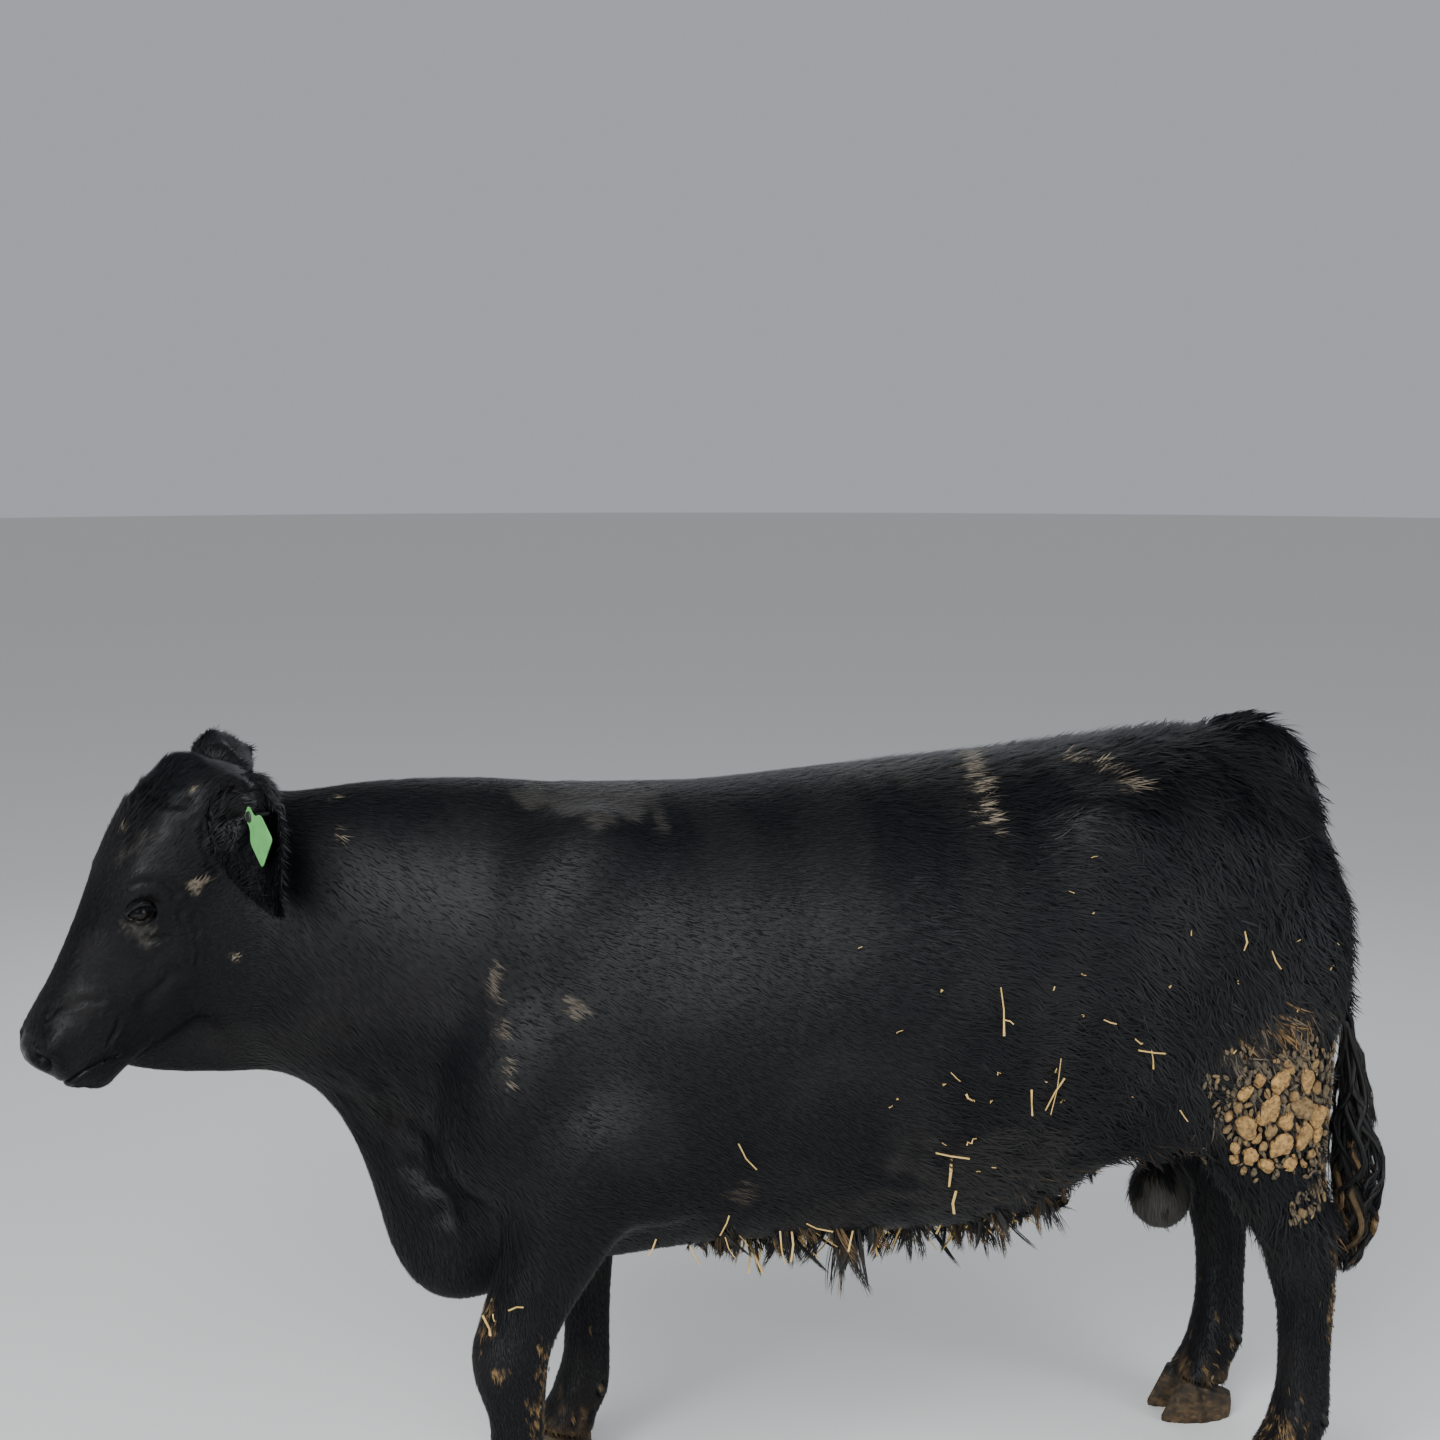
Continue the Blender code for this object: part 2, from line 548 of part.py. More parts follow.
def eye_frame(flesh_tree, side):
    """The eye's centre, with its X out of the head and its Y along the opening."""
    along, out, right = EYE_PLACE
    start = on_head(along, out, side * 0.2)
    inward = HEAD_RIGHT * -side
    surface = flesh_tree.ray_cast(start, inward)[0]
    centre = surface + inward * (EYE_RADIUS + LID_THICKNESS - EYE_BULGE)
    slit = FACE_ALONG * math.cos(EYE_SLANT) + FACE_OUT * math.sin(EYE_SLANT)
    return frame_of(centre, -inward, slit)


def almond(bm, place, reach, length, height, sides=14):
    """A prism of almond outline along the placing matrix's X."""
    ring = bmesh.ops.create_circle(bm, segments=sides, radius=1, cap_ends=True)["verts"]
    for vert in ring:
        x, y = vert.co.x, vert.co.y
        vert.co = (reach[0], x * length, y * height * (1 - 0.35 * x * x))
    faces = list({face for vert in ring for face in vert.link_faces})
    top = bmesh.ops.extrude_face_region(bm, geom=faces)["geom"]
    moved = [item for item in top if isinstance(item, bmesh.types.BMVert)]
    bmesh.ops.translate(bm, verts=moved, vec=(reach[1] - reach[0], 0, 0))
    bmesh.ops.transform(bm, matrix=place, verts=ring + moved)
    bmesh.ops.recalc_face_normals(bm, faces=bm.faces)


def tube(bm, points, radius, sides=8):
    """A closed tube of even width along points."""
    loops = []
    for i, point in enumerate(points):
        ahead = points[min(i + 1, len(points) - 1)] - points[max(i - 1, 0)]
        place = Matrix.Translation(point) @ ahead.to_track_quat("Z", "Y").to_matrix().to_4x4()
        ring = bmesh.ops.create_circle(bm, segments=sides, radius=radius, matrix=place)["verts"]
        loops.append(list({edge for vert in ring for edge in vert.link_edges}))
    for first, second in zip(loops, loops[1:]):
        bmesh.ops.bridge_loops(bm, edges=first + second)
    for end in (loops[0], loops[-1]):
        bmesh.ops.contextual_create(bm, geom=end)
    bmesh.ops.recalc_face_normals(bm, faces=bm.faces)


def mouth_points(tree):
    """The line of the mouth on the skin, from one corner to the other."""
    line = [(along, out, -right) for along, out, right in reversed(MOUTH)] + list(MOUTH[1:])
    run = through(line, 2)
    return [tree.find_nearest(on_head(*point))[0] for point in run]


def upwards(height):
    """Turns a placing matrix's X towards its Z, at a height along it."""
    return Matrix.Translation((0, 0, height)) @ Matrix.Rotation(math.radians(-90), 4, "Y")


def tag_frame():
    """The tag's pin, with its Z out of the cup of the ear and its Y down the tag."""
    pin = ear_frame("ear_left") @ Vector((*TAG_PLACE, 0))
    return frame_of(pin, TAG_DOWN.cross(TAG_FACE), TAG_DOWN)


def tag_plate():
    """The flat of the tag: a plate narrowed towards its pin."""
    bm = bmesh.new()
    neck, shoulder = TAG_WIDTH * 0.20, TAG_LENGTH * 0.28
    outline = [
        (-neck, -TAG_NECK),
        (neck, -TAG_NECK),
        (neck, TAG_NECK),
        (TAG_WIDTH / 2, shoulder),
        (TAG_WIDTH / 2, TAG_LENGTH - TAG_NECK),
        (-TAG_WIDTH / 2, TAG_LENGTH - TAG_NECK),
        (-TAG_WIDTH / 2, shoulder),
        (-neck, TAG_NECK),
    ]
    face = bm.faces.new([bm.verts.new((x, y, TAG_REACH[1])) for x, y in outline])
    top = bmesh.ops.extrude_face_region(bm, geom=[face])["geom"]
    raised = [item for item in top if isinstance(item, bmesh.types.BMVert)]
    bmesh.ops.translate(bm, verts=raised, vec=(0, 0, TAG_THICKNESS))
    bmesh.ops.recalc_face_normals(bm, faces=bm.faces)
    bm.transform(tag_frame())
    return bm


def tail_mesh():
    bm = bmesh.new()
    loft(bm, TAIL[TAIL_ROOT_ROW : SWITCH_ROW + 1], spokes=14, steps=2)
    bmesh.ops.recalc_face_normals(bm, faces=bm.faces)
    return bm


def lock_mesh(path, half, broad):
    """A flat lock along a bending path, tapering to its tip, its broad side along a direction."""
    bm = bmesh.new()
    loops = []
    last = len(path) - 1
    for i, point in enumerate(path):
        ahead = (path[min(i + 1, last)] - path[max(i - 1, 0)]).normalized()
        across = (broad - ahead * broad.dot(ahead)).normalized()
        width = half * math.sin(math.pi * (0.28 + 0.68 * i / last))
        place = Matrix((across, ahead.cross(across), ahead)).transposed().to_4x4()
        shape = Matrix.Translation(point) @ place @ Matrix.Diagonal((width, width * LOCK_FLATNESS, 1, 1))
        ring = bmesh.ops.create_circle(bm, segments=4, radius=1, matrix=shape)["verts"]
        loops.append(list({edge for vert in ring for edge in vert.link_edges}))
    for first, second in zip(loops, loops[1:]):
        bmesh.ops.bridge_loops(bm, edges=first + second)
    for end in (loops[0], loops[-1]):
        bmesh.ops.contextual_create(bm, geom=end)
    bmesh.ops.triangulate(bm, faces=bm.faces)
    bmesh.ops.recalc_face_normals(bm, faces=bm.faces)
    return bm


def switch_core():
    """The short solid core of the switch, which ends half way to the tips of the locks."""
    bm = bmesh.new()
    rows = [SWITCH[0]]
    for x, y, z, half, front, back, square in SWITCH[1:4]:
        rows.append((x, y, z, half * SWITCH_CORE, front * SWITCH_CORE, back * SWITCH_CORE, square))
    loft(bm, rows, spokes=12, steps=2)
    bmesh.ops.recalc_face_normals(bm, faces=bm.faces)
    return bm


def switch_locks(draw):
    """The wavy locks of the switch, each running down and out to the switch's outline."""
    run = through(SWITCH, 8)
    for i in range(SWITCH_LOCKS):
        start = SWITCH_ROOTS[0] + (SWITCH_ROOTS[1] - SWITCH_ROOTS[0]) * i / (SWITCH_LOCKS - 1)
        length = draw.uniform(*SWITCH_RUN)
        around = i * 2.4 + draw.uniform(-0.3, 0.3)
        phase = draw.uniform(0, 2 * math.pi)
        reach = draw.uniform(0.75, 1.0)
        path = []
        for k in range(SWITCH_RINGS):
            t = k / (SWITCH_RINGS - 1)
            x, y, z, half = run[round(min(1, start + length * t) * (len(run) - 1))][:4]
            turn = around + SWITCH_WAVE * math.sin(phase + 4.5 * t)
            out = half * (0.28 + (reach - 0.28) * math.sin(min(1, 1.6 * t) * math.pi / 2))
            path.append(Vector((x + out * math.cos(turn), y + out * math.sin(turn), z)))
        broad = Vector((-math.sin(around), math.cos(around), 0))
        yield lock_mesh(path, draw.uniform(*SWITCH_HALF), broad)


def belly_locks(draw, tree):
    """The muddy fringe under the belly, each lock hanging down and a little back."""
    for i in range(BELLY_LOCKS):
        x = BELLY_ALONG[0] + (BELLY_ALONG[1] - BELLY_ALONG[0]) * (i + draw.uniform(0.1, 0.9)) / BELLY_LOCKS
        y = BELLY_SIDE * ((i * 0.618) % 1 * 2 - 1)
        root = tree.ray_cast(Vector((x, y, 0.2)), Vector((0, 0, 1)))[0]
        length = draw.uniform(*BELLY_LENGTH) * (1 - 0.45 * (abs(2 * i / BELLY_LOCKS - 1)) ** 3)
        spread = 0.9 * y / BELLY_SIDE * draw.uniform(0.2, 0.6)
        way = Vector((draw.uniform(-0.1, 0.45), spread, -1)).normalized()
        swing = Vector((draw.uniform(-0.5, 0.3), draw.uniform(-0.3, 0.3), -0.1))
        path = [root - way * LOCK_SUNK]
        for k in range(1, BELLY_RINGS):
            ahead = (way + swing * k / BELLY_RINGS).normalized()
            path.append(path[-1] + ahead * (length + LOCK_SUNK) / (BELLY_RINGS - 1))
        broad = Vector((math.cos(i * 1.3), 0.5 * math.sin(i * 1.3), 0)).normalized()
        yield lock_mesh(path, draw.uniform(*BELLY_HALF), broad)


def helper(name, bm, collection):
    """A cutter or a piece to be fused: kept out of the collection of parts."""
    obj = mesh_object(name, bm)
    bpy.context.scene.collection.objects.unlink(obj)
    collection.objects.link(obj)
    obj.hide_render = True
    obj.display_type = "WIRE"
    return obj


def combine(obj, collection, operation):
    """One Boolean with a whole collection, applied, and the collection's objects removed."""
    boolean = obj.modifiers.new("combine", "BOOLEAN")
    boolean.operand_type = "COLLECTION"
    boolean.collection = collection
    boolean.operation = operation
    boolean.solver = "EXACT"
    settle(obj)
    for other in list(collection.objects):
        bpy.data.objects.remove(other)


def loose_parts(bm):
    """The separate bodies of a mesh, as lists of faces."""
    seen, parts = set(), []
    for face in bm.faces:
        if face in seen:
            continue
        seen.add(face)
        part, queue = [], [face]
        while queue:
            current = queue.pop()
            part.append(current)
            for edge in current.edges:
                for near in edge.link_faces:
                    if near not in seen:
                        seen.add(near)
                        queue.append(near)
        parts.append(part)
    return parts


LEAST_FACES = 30
# A point inside or near each node of flesh, by which the parted bodies are told apart.
SEEDS = {
    "head": tuple(POLL + FACE_ALONG * 0.22 - FACE_OUT * 0.10),
    "neck": (-0.86, 0, 1.00),
    "torso": (-0.05, 0, 0.85),
    "foreleg_left_upper": (-0.660, -0.208, 0.46),
    "foreleg_right_upper": (-0.520, 0.208, 0.46),
    "foreleg_left_lower": (-0.684, -0.208, 0.21),
    "foreleg_right_lower": (-0.520, 0.208, 0.21),
    "hindleg_left_upper": (0.530, -0.165, 0.600),
    "hindleg_right_upper": (0.530, 0.165, 0.600),
    "hindleg_left_lower": (0.615, -0.154, 0.23),
    "hindleg_right_lower": (0.615, 0.154, 0.23),
    "scrotum": (0.430, 0, 0.490),
    "ear_left": (-1.02, -0.20, 1.15),
    "ear_right": (-1.09, 0.20, 1.23),
}


def part_bodies(flesh, parts_collection):
    """Makes one object of each parted body, named by the nearest seed, the largest first."""
    bm = bmesh.new()
    bm.from_mesh(flesh.data)
    named = {}
    for part in sorted(loose_parts(bm), key=len, reverse=True):
        if len(part) < LEAST_FACES:
            continue
        piece = bmesh.new()
        copies = {}
        for face in part:
            for vert in face.verts:
                if vert not in copies:
                    copies[vert] = piece.verts.new(vert.co)
            piece.faces.new([copies[vert] for vert in face.verts])
        low = Vector([min(v.co[i] for v in piece.verts) for i in range(3)])
        high = Vector([max(v.co[i] for v in piece.verts) for i in range(3)])
        middle = (low + high) / 2
        name = min(SEEDS, key=lambda seed: (Vector(SEEDS[seed]) - middle).length)
        if name in named:
            piece.free()
            continue
        obj = mesh_object(name, piece)
        bpy.context.scene.collection.objects.unlink(obj)
        parts_collection.objects.link(obj)
        named[name] = obj
    bm.free()
    bpy.data.objects.remove(flesh)
    return named


def keep_largest(obj):
    """Keeps only the largest closed surface of a fused node."""
    bm = bmesh.new()
    bm.from_mesh(obj.data)
    parts = sorted(loose_parts(bm), key=len, reverse=True)
    scraps = [face for part in parts[1:] for face in part]
    bmesh.ops.delete(bm, geom=scraps, context="FACES")
    bm.to_mesh(obj.data)
    bm.free()


def add_part(name, bm, parts_collection):
    obj = mesh_object(name, bm)
    bpy.context.scene.collection.objects.unlink(obj)
    parts_collection.objects.link(obj)
    return obj


# Finishes by the words in a node's name: colour, roughness.
FINISHES = {
    "eye": ((0.012, 0.008, 0.007), 0.08),
    "claw": ((0.030, 0.027, 0.024), 0.45),
    "tag": ((0.55, 0.78, 0.50), 0.45),
    "switch": ((0.012, 0.011, 0.011), 0.60),
    "": ((0.014, 0.013, 0.014), 0.55),
}


def finish(obj):
    """Gives a node its own material."""
    colour, roughness = next(look for word, look in FINISHES.items() if word in obj.name)
    material = bpy.data.materials.new(obj.name + "_finish")
    material.use_nodes = True
    shader = material.node_tree.nodes["Principled BSDF"]
    shader.inputs["Base Color"].default_value = (*colour, 1)
    shader.inputs["Roughness"].default_value = roughness
    obj.data.materials.clear()
    obj.data.materials.append(material)


def new_collection(name):
    collection = bpy.data.collections.new(name)
    bpy.context.scene.collection.children.link(collection)
    return collection


def clear_scene():
    for obj in list(bpy.data.objects):
        bpy.data.objects.remove(obj)


def grow_features(flesh, eyes, helpers):
    """Fuses the ears and the balls of the lids to the flesh."""
    for name, side in (("ear_left", 1), ("ear_right", -1)):
        ear = ear_mesh(side)
        ear.transform(ear_frame(name))
        helper("grow_" + name, ear, helpers)
    for name, place in eyes.items():
        lids = bmesh.new()
        ellipsoid(lids, place, (EYE_RADIUS + LID_THICKNESS,) * 3, 14, 10)
        helper("lids_" + name, lids, helpers)
    combine(flesh, helpers, "UNION")


def cut_joints(helpers):
    """The plates that part the flesh into its nodes."""
    for i, (centre, normal, along, reach, across) in enumerate(joint_cuts()):
        plate = bmesh.new()
        box(plate, frame_of(centre, normal, along), (GAP / 2, reach, across))
        helper(f"cut_{i}", plate, helpers)
    for name in EARS:
        plate = bmesh.new()
        place = ear_frame(name) @ Matrix.Translation((EAR_CUT, 0, 0))
        box(plate, place, (GAP / 2, *EAR_PLATE))
        helper("cut_" + name, plate, helpers)


def cut_face(eyes, mouth, helpers):
    """The eye sockets with the slits between the lids, the nostrils and the line of the mouth."""
    for name, place in eyes.items():
        ball = bmesh.new()
        ellipsoid(ball, place, (EYE_RADIUS + GAP,) * 3, 14, 10)
        helper("socket_" + name, ball, helpers)
        slit = bmesh.new()
        almond(slit, place, (0.004, 0.05), *EYE_OPENING)
        helper("slit_" + name, slit, helpers)
    along, out, right = NOSTRIL_PLACE
    for side in (-1, 1):
        nostril = bmesh.new()
        place = Matrix.Translation(on_head(along, out, side * right)) @ HEAD_AXES
        ellipsoid(nostril, place, NOSTRIL_SIZE, 10, 6)
        helper(f"nostril_{side}", nostril, helpers)
    groove = bmesh.new()
    tube(groove, mouth, MOUTH_GROOVE / 2, 6)
    helper("mouth", groove, helpers)


def cut_tail_socket(helpers):
    """The hollow of the rump where the tail sits, wider than the tail by twice the gap."""
    socket = bmesh.new()
    wider = [
        (x, y, z, half + 2 * GAP, front + 2 * GAP, back + 2 * GAP, square)
        for x, y, z, half, front, back, square in TAIL[TAIL_ROOT_ROW : SWITCH_ROW + 1]
    ]
    root, after = Vector(wider[0][:3]), Vector(wider[1][:3])
    wider[0] = (*(root - (after - root).normalized() * 2 * GAP), *wider[0][3:])
    loft(socket, wider, spokes=14, steps=2)
    bmesh.ops.recalc_face_normals(socket, faces=socket.faces)
    helper("tail_socket", socket, helpers)


def cut_feet(helpers):
    """Ends the legs at the sloping coronets, and makes the holes of the dewclaws."""
    radius, tip, length = DEWCLAW
    for foot, (rows, x, side) in FEET.items():
        below = bmesh.new()
        tilt = Matrix.Rotation(math.atan(CORONET_SLOPE), 4, "Y")
        sunk = Matrix.Translation((0, 0, -FOOT_BOX[2]))
        box(below, Matrix.Translation(foot_place(rows, x, side)[0]) @ tilt @ sunk, FOOT_BOX)
        helper("below_" + foot, below, helpers)
        for outer in (-1, 1):
            hole = bmesh.new()
            place = dewclaw_place(rows, x, side, outer) @ Matrix.Translation((-GAP, 0, 0))
            cone_along(hole, place, radius + GAP, tip + GAP, length + 2 * GAP)
            helper(f"dew_{foot}_{outer}", hole, helpers)


def add_feet(parts):
    """Two claws and two dewclaws on each foot."""
    for foot, (rows, x, side) in FEET.items():
        place, half, front, back = foot_place(rows, x, side)
        for outer, word in ((-1, "a"), (1, "b")):
            claw = claw_mesh(outer, half, front, back)
            claw.transform(Matrix.Translation((place.x, place.y, 0)))
            add_part(f"{foot}_claw_{word}", claw, parts)
            dew = bmesh.new()
            cone_along(dew, dewclaw_place(rows, x, side, outer), *DEWCLAW)
            add_part(f"{foot}_dewclaw_{word}", dew, parts)


def add_tag(ear, parts, helpers):
    """The ear tag: its plate, pin and button fused, and the pin's hole cut through the ear."""
    tag = add_part("ear_tag", tag_plate(), parts)
    pin = bmesh.new()
    cone_along(pin, tag_frame() @ upwards(TAG_REACH[0]), TAG_PIN, TAG_PIN, TAG_REACH[1] - TAG_REACH[0], 12)
    helper("tag_pin", pin, helpers)
    button = bmesh.new()
    place = tag_frame() @ upwards(TAG_REACH[0] - 0.8 * TAG_BUTTON_HEIGHT)
    cone_along(button, place, TAG_BUTTON, TAG_BUTTON * 0.8, TAG_BUTTON_HEIGHT, 14)
    helper("tag_button", button, helpers)
    combine(tag, helpers, "UNION")
    hole = bmesh.new()
    through_ear = TAG_REACH[0] - TAG_BUTTON_HEIGHT
    cone_along(hole, tag_frame() @ upwards(through_ear), TAG_PIN + GAP, TAG_PIN + GAP, -through_ear, 12)
    helper("tag_hole", hole, helpers)
    combine(ear, helpers, "DIFFERENCE")


def add_hair(torso, tree, parts, helpers):
    """The fringe of the belly, fused to the torso, and the switch of the tail."""
    draw = random.Random(LOCK_SEED)
    for i, lock in enumerate(belly_locks(draw, tree)):
        helper(f"belly_lock_{i}", lock, helpers)
    combine(torso, helpers, "UNION")
    keep_largest(torso)
    switch = add_part("tail_switch", switch_core(), parts)
    for i, lock in enumerate(switch_locks(draw)):
        helper(f"switch_lock_{i}", lock, helpers)
    combine(switch, helpers, "UNION")
    keep_largest(switch)


def main():
    clear_scene()
    parts = new_collection("angus_bull")
    helpers = new_collection("cutters")
    flesh = make_flesh()
    tree = BVHTree.FromObject(flesh, bpy.context.evaluated_depsgraph_get())
    eyes = {"eye_left": eye_frame(tree, -1), "eye_right": eye_frame(tree, 1)}
    mouth = mouth_points(tree)

    grow_features(flesh, eyes, helpers)
    cut_joints(helpers)
    cut_face(eyes, mouth, helpers)
    cut_tail_socket(helpers)
    cut_feet(helpers)
    combine(flesh, helpers, "DIFFERENCE")
    named = part_bodies(flesh, parts)

    for name, place in eyes.items():
        ball = bmesh.new()
        ellipsoid(ball, place, (EYE_RADIUS,) * 3, 14, 10)
        add_part(name, ball, parts)
    add_part("tail", tail_mesh(), parts)
    add_hair(named["torso"], tree, parts, helpers)
    add_tag(named["ear_left"], parts, helpers)
    add_feet(parts)
    for obj in parts.objects:
        obj.data.transform(Matrix.Translation(-MIDDLE))
        finish(obj)


main()
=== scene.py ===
"""The looks of a young Angus bull as a still, life-size model, in a winter coat with dried mud and straw.

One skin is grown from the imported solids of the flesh, sculpted on the head, and drawn inwards by the depth of
the coat. Blades of hair then grow from it along the lie of the coat. Metres, +Z up, the head towards -X, the
near side towards -Y.
"""

import math
import random

import bmesh
import bpy
import numpy as np
from mathutils import Matrix, Vector
from mathutils.bvhtree import BVHTree


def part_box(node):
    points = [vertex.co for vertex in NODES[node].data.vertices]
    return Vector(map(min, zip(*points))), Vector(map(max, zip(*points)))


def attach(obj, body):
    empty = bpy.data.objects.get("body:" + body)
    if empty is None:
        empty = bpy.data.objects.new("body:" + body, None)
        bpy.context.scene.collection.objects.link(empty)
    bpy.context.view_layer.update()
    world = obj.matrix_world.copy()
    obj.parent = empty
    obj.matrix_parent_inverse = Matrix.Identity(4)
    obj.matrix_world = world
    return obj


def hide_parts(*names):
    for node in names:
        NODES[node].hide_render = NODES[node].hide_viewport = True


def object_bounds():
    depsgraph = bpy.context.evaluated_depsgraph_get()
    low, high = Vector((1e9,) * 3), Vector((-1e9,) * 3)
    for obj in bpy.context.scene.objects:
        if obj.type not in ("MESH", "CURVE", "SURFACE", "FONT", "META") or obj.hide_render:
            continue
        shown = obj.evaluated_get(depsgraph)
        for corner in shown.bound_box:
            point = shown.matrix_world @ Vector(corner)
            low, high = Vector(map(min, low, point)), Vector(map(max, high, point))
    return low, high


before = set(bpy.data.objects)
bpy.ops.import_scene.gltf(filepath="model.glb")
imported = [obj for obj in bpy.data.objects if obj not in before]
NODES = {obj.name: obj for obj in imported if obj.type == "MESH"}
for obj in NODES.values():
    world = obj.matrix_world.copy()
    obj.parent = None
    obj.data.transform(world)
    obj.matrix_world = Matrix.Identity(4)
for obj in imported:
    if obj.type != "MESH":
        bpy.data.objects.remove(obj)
CAD_LOW, CAD_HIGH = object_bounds()

LEGS = [f"{end}leg_{side}" for end in ("fore", "hind") for side in ("left", "right")]
LEG_PARTS = [f"{leg}_{part}" for leg in LEGS for part in ("upper", "lower")]
FLESH = ["head", "neck", "torso", "scrotum", "tail", *LEG_PARTS]
SKIN_VOXEL = 0.0055
SKIN_TRIANGLES = 185000
JOINT_OVERLAP = 0.0005
# Where the solid locks under the belly are taken off: from, to, half width and bottom.
BELLY_FROM, BELLY_TO, BELLY_HALF, BELLY_LOW = -0.16, 0.56, 0.20, 0.36

# The head's own axes: along the face from poll to muzzle, out of the forehead, and to the animal's right.
POLL = Vector((-0.86405, -0.020, 1.277))
HEAD_TURN = math.radians(20)
FACE_SLOPE = math.radians(61)
FACE_FORWARD = Vector((-math.cos(HEAD_TURN), -math.sin(HEAD_TURN), 0))
HEAD_RIGHT = Vector((-math.sin(HEAD_TURN), math.cos(HEAD_TURN), 0))
FACE_ALONG = FACE_FORWARD * math.cos(FACE_SLOPE) - Vector((0, 0, math.sin(FACE_SLOPE)))
FACE_OUT = HEAD_RIGHT.cross(FACE_ALONG)
HEAD_AXES = np.array([FACE_ALONG, FACE_OUT, HEAD_RIGHT])

EYE_RADIUS = 0.0205
EYE_SLANT = math.radians(235)
EYE_OPENING = (0.0190, 0.0108)
LID = 0.0024
# How much smaller the ball is than its socket, the share by which it bulges, and the pupil's half sizes.
EYE_ROOM, CORNEA, PUPIL = 0.0006, 0.055, (0.0080, 0.0050)
# How far round each eye the skin is divided once and twice more.
EYE_FINE, EYE_FINEST = 0.046, 0.034
NOSTRIL = ((0.460, -0.026, 0.045), (0.026, 0.018, 0.014))
MOUTH = (
    (0.484, -0.066, 0.000),
    (0.478, -0.068, 0.030),
    (0.462, -0.070, 0.060),
    (0.438, -0.082, 0.076),
    (0.420, -0.100, 0.070),
    (0.408, -0.120, 0.058),
)
# Creases of the face, on both sides of it: points in the head's axes, half width, depth.
FACE_CREASES = (
    (((0.185, -0.100, 0.09), (0.218, -0.122, 0.09), (0.252, -0.145, 0.086)), 0.0036, 0.0016),
    (((0.180, -0.116, 0.092), (0.213, -0.136, 0.092), (0.245, -0.158, 0.088)), 0.0036, 0.0014),
    (((0.176, -0.020, 0.08), (0.158, -0.048, 0.095), (0.165, -0.078, 0.098)), 0.0060, 0.0034),
    (((0.232, -0.040, 0.083), (0.246, -0.070, 0.079), (0.232, -0.096, 0.084)), 0.0050, 0.0026),
    (((0.053, -0.080, 0.111), (0.081, -0.096, 0.108), (0.100, -0.128, 0.104)), 0.0045, 0.0036),
    (((0.036, -0.086, 0.111), (0.062, -0.106, 0.112), (0.086, -0.128, 0.106)), 0.0040, 0.0030),
    (((0.066, -0.066, 0.106), (0.096, -0.084, 0.104), (0.116, -0.116, 0.102)), 0.0042, 0.0030),
    (((0.052, 0.02, 0), (0.054, 0.012, 0.034), (0.06, -0.01, 0.062), (0.052, -0.034, 0.08)), 0.0085, 0.004),
    (
        ((0.391, -0.007, 0.037), (0.372, -0.017, 0.049), (0.355, -0.037, 0.059), (0.345, -0.062, 0.064)),
        0.006,
        0.003,
    ),
    (((0.359, -0.097, 0.064), (0.376, -0.099, 0.064), (0.395, -0.101, 0.067)), 0.0040, 0.0022),
    (((0.475, -0.020, 0.000), (0.482, -0.042, 0.000), (0.484, -0.062, 0.000)), 0.0025, 0.0022),
    (((0.330, -0.120, 0.062), (0.300, -0.128, 0.064), (0.262, -0.136, 0.070)), 0.0090, 0.0030),
)
# Folds of neck and dewlap, in world axes: points on the far side, which side has it, half width, depth.
DEWLAP_FOLD = ((-0.616, 0.129, 0.887), (-0.560, 0.105, 0.785), (-0.517, 0.07, 0.677), (-0.46, 0.098, 0.588))
THROAT_FOLD = ((-0.641, 0.11, 0.850), (-0.606, 0.06, 0.770), (-0.581, 0.05, 0.690))
BODY_FOLDS = (
    (DEWLAP_FOLD, -1, 0.022, 0.0065),
    (DEWLAP_FOLD, 1, 0.022, 0.0065),
    (THROAT_FOLD, -1, 0.014, 0.0022),
)

# The coat: the first seed of its chance, the chart's size for each metre, and the size of a lock's cell.
COAT_SEED = 11
CHART_SCALE = 0.25
LOCK_CELL = 0.017
# Tufts of each piece: region, how many, length in sleek and rough places, lift in degrees there, and width.
SHORT_COAT = {
    "coat_face": ("face", 58000, 0.0088, 0.0088, 12, 12, 0.0013),
    "coat_poll": ("poll", 24000, 0.018, 0.018, 17, 17, 0.0018),
    "coat_neck": ("neck", 62000, 0.021, 0.021, 9, 9, 0.0016),
    "coat_ribs": ("ribs", 55000, 0.021, 0.028, 9, 15, 0.0017),
    "coat_ribs_lower": ("ribs", 46000, 0.019, 0.034, 10, 17, 0.0017),
    "coat_rear": ("rear", 56000, 0.024, 0.033, 11, 19, 0.0019),
    "coat_rear_rough": ("rear", 37000, 0.028, 0.046, 13, 24, 0.0019),
    "coat_legs": ("legs", 44000, 0.012, 0.017, 12, 18, 0.0018),
}
# Hair of the ears: how many tufts, their length, lift in degrees, width and segments.
EAR_COAT = {"coat_ear_": (11000, 0.011, 14, 0.0016, 2), "ear_tufts_": (2200, 0.018, 32, 0.0013, 3)}
# How many locks, and hairs in each, of the belly's fringe, the switch and the tuft on the tail head. Of the
# fringe's locks FRINGE_NEAR are kept to the near side.
FRINGE_LOCKS, FRINGE_HAIRS, FRINGE_NEAR = 320, 19, 130
SWITCH_LOCKS, SWITCH_HAIRS = 90, 40
TUFT_LOCKS, TUFT_HAIRS = 44, 16
LASHES = 46
# Bits of straw by chance in the coat and in the fringe, and the longest of those in the coat.
STRAW_BITS, FRINGE_STRAWS, SHORT_STRAW = 150, 46, 0.011
# Which way the clods are drawn out, and the radius from which they are made finer.
CLOD_WAY = (0.25, 0, -1)
BIG_CLOD = 0.010

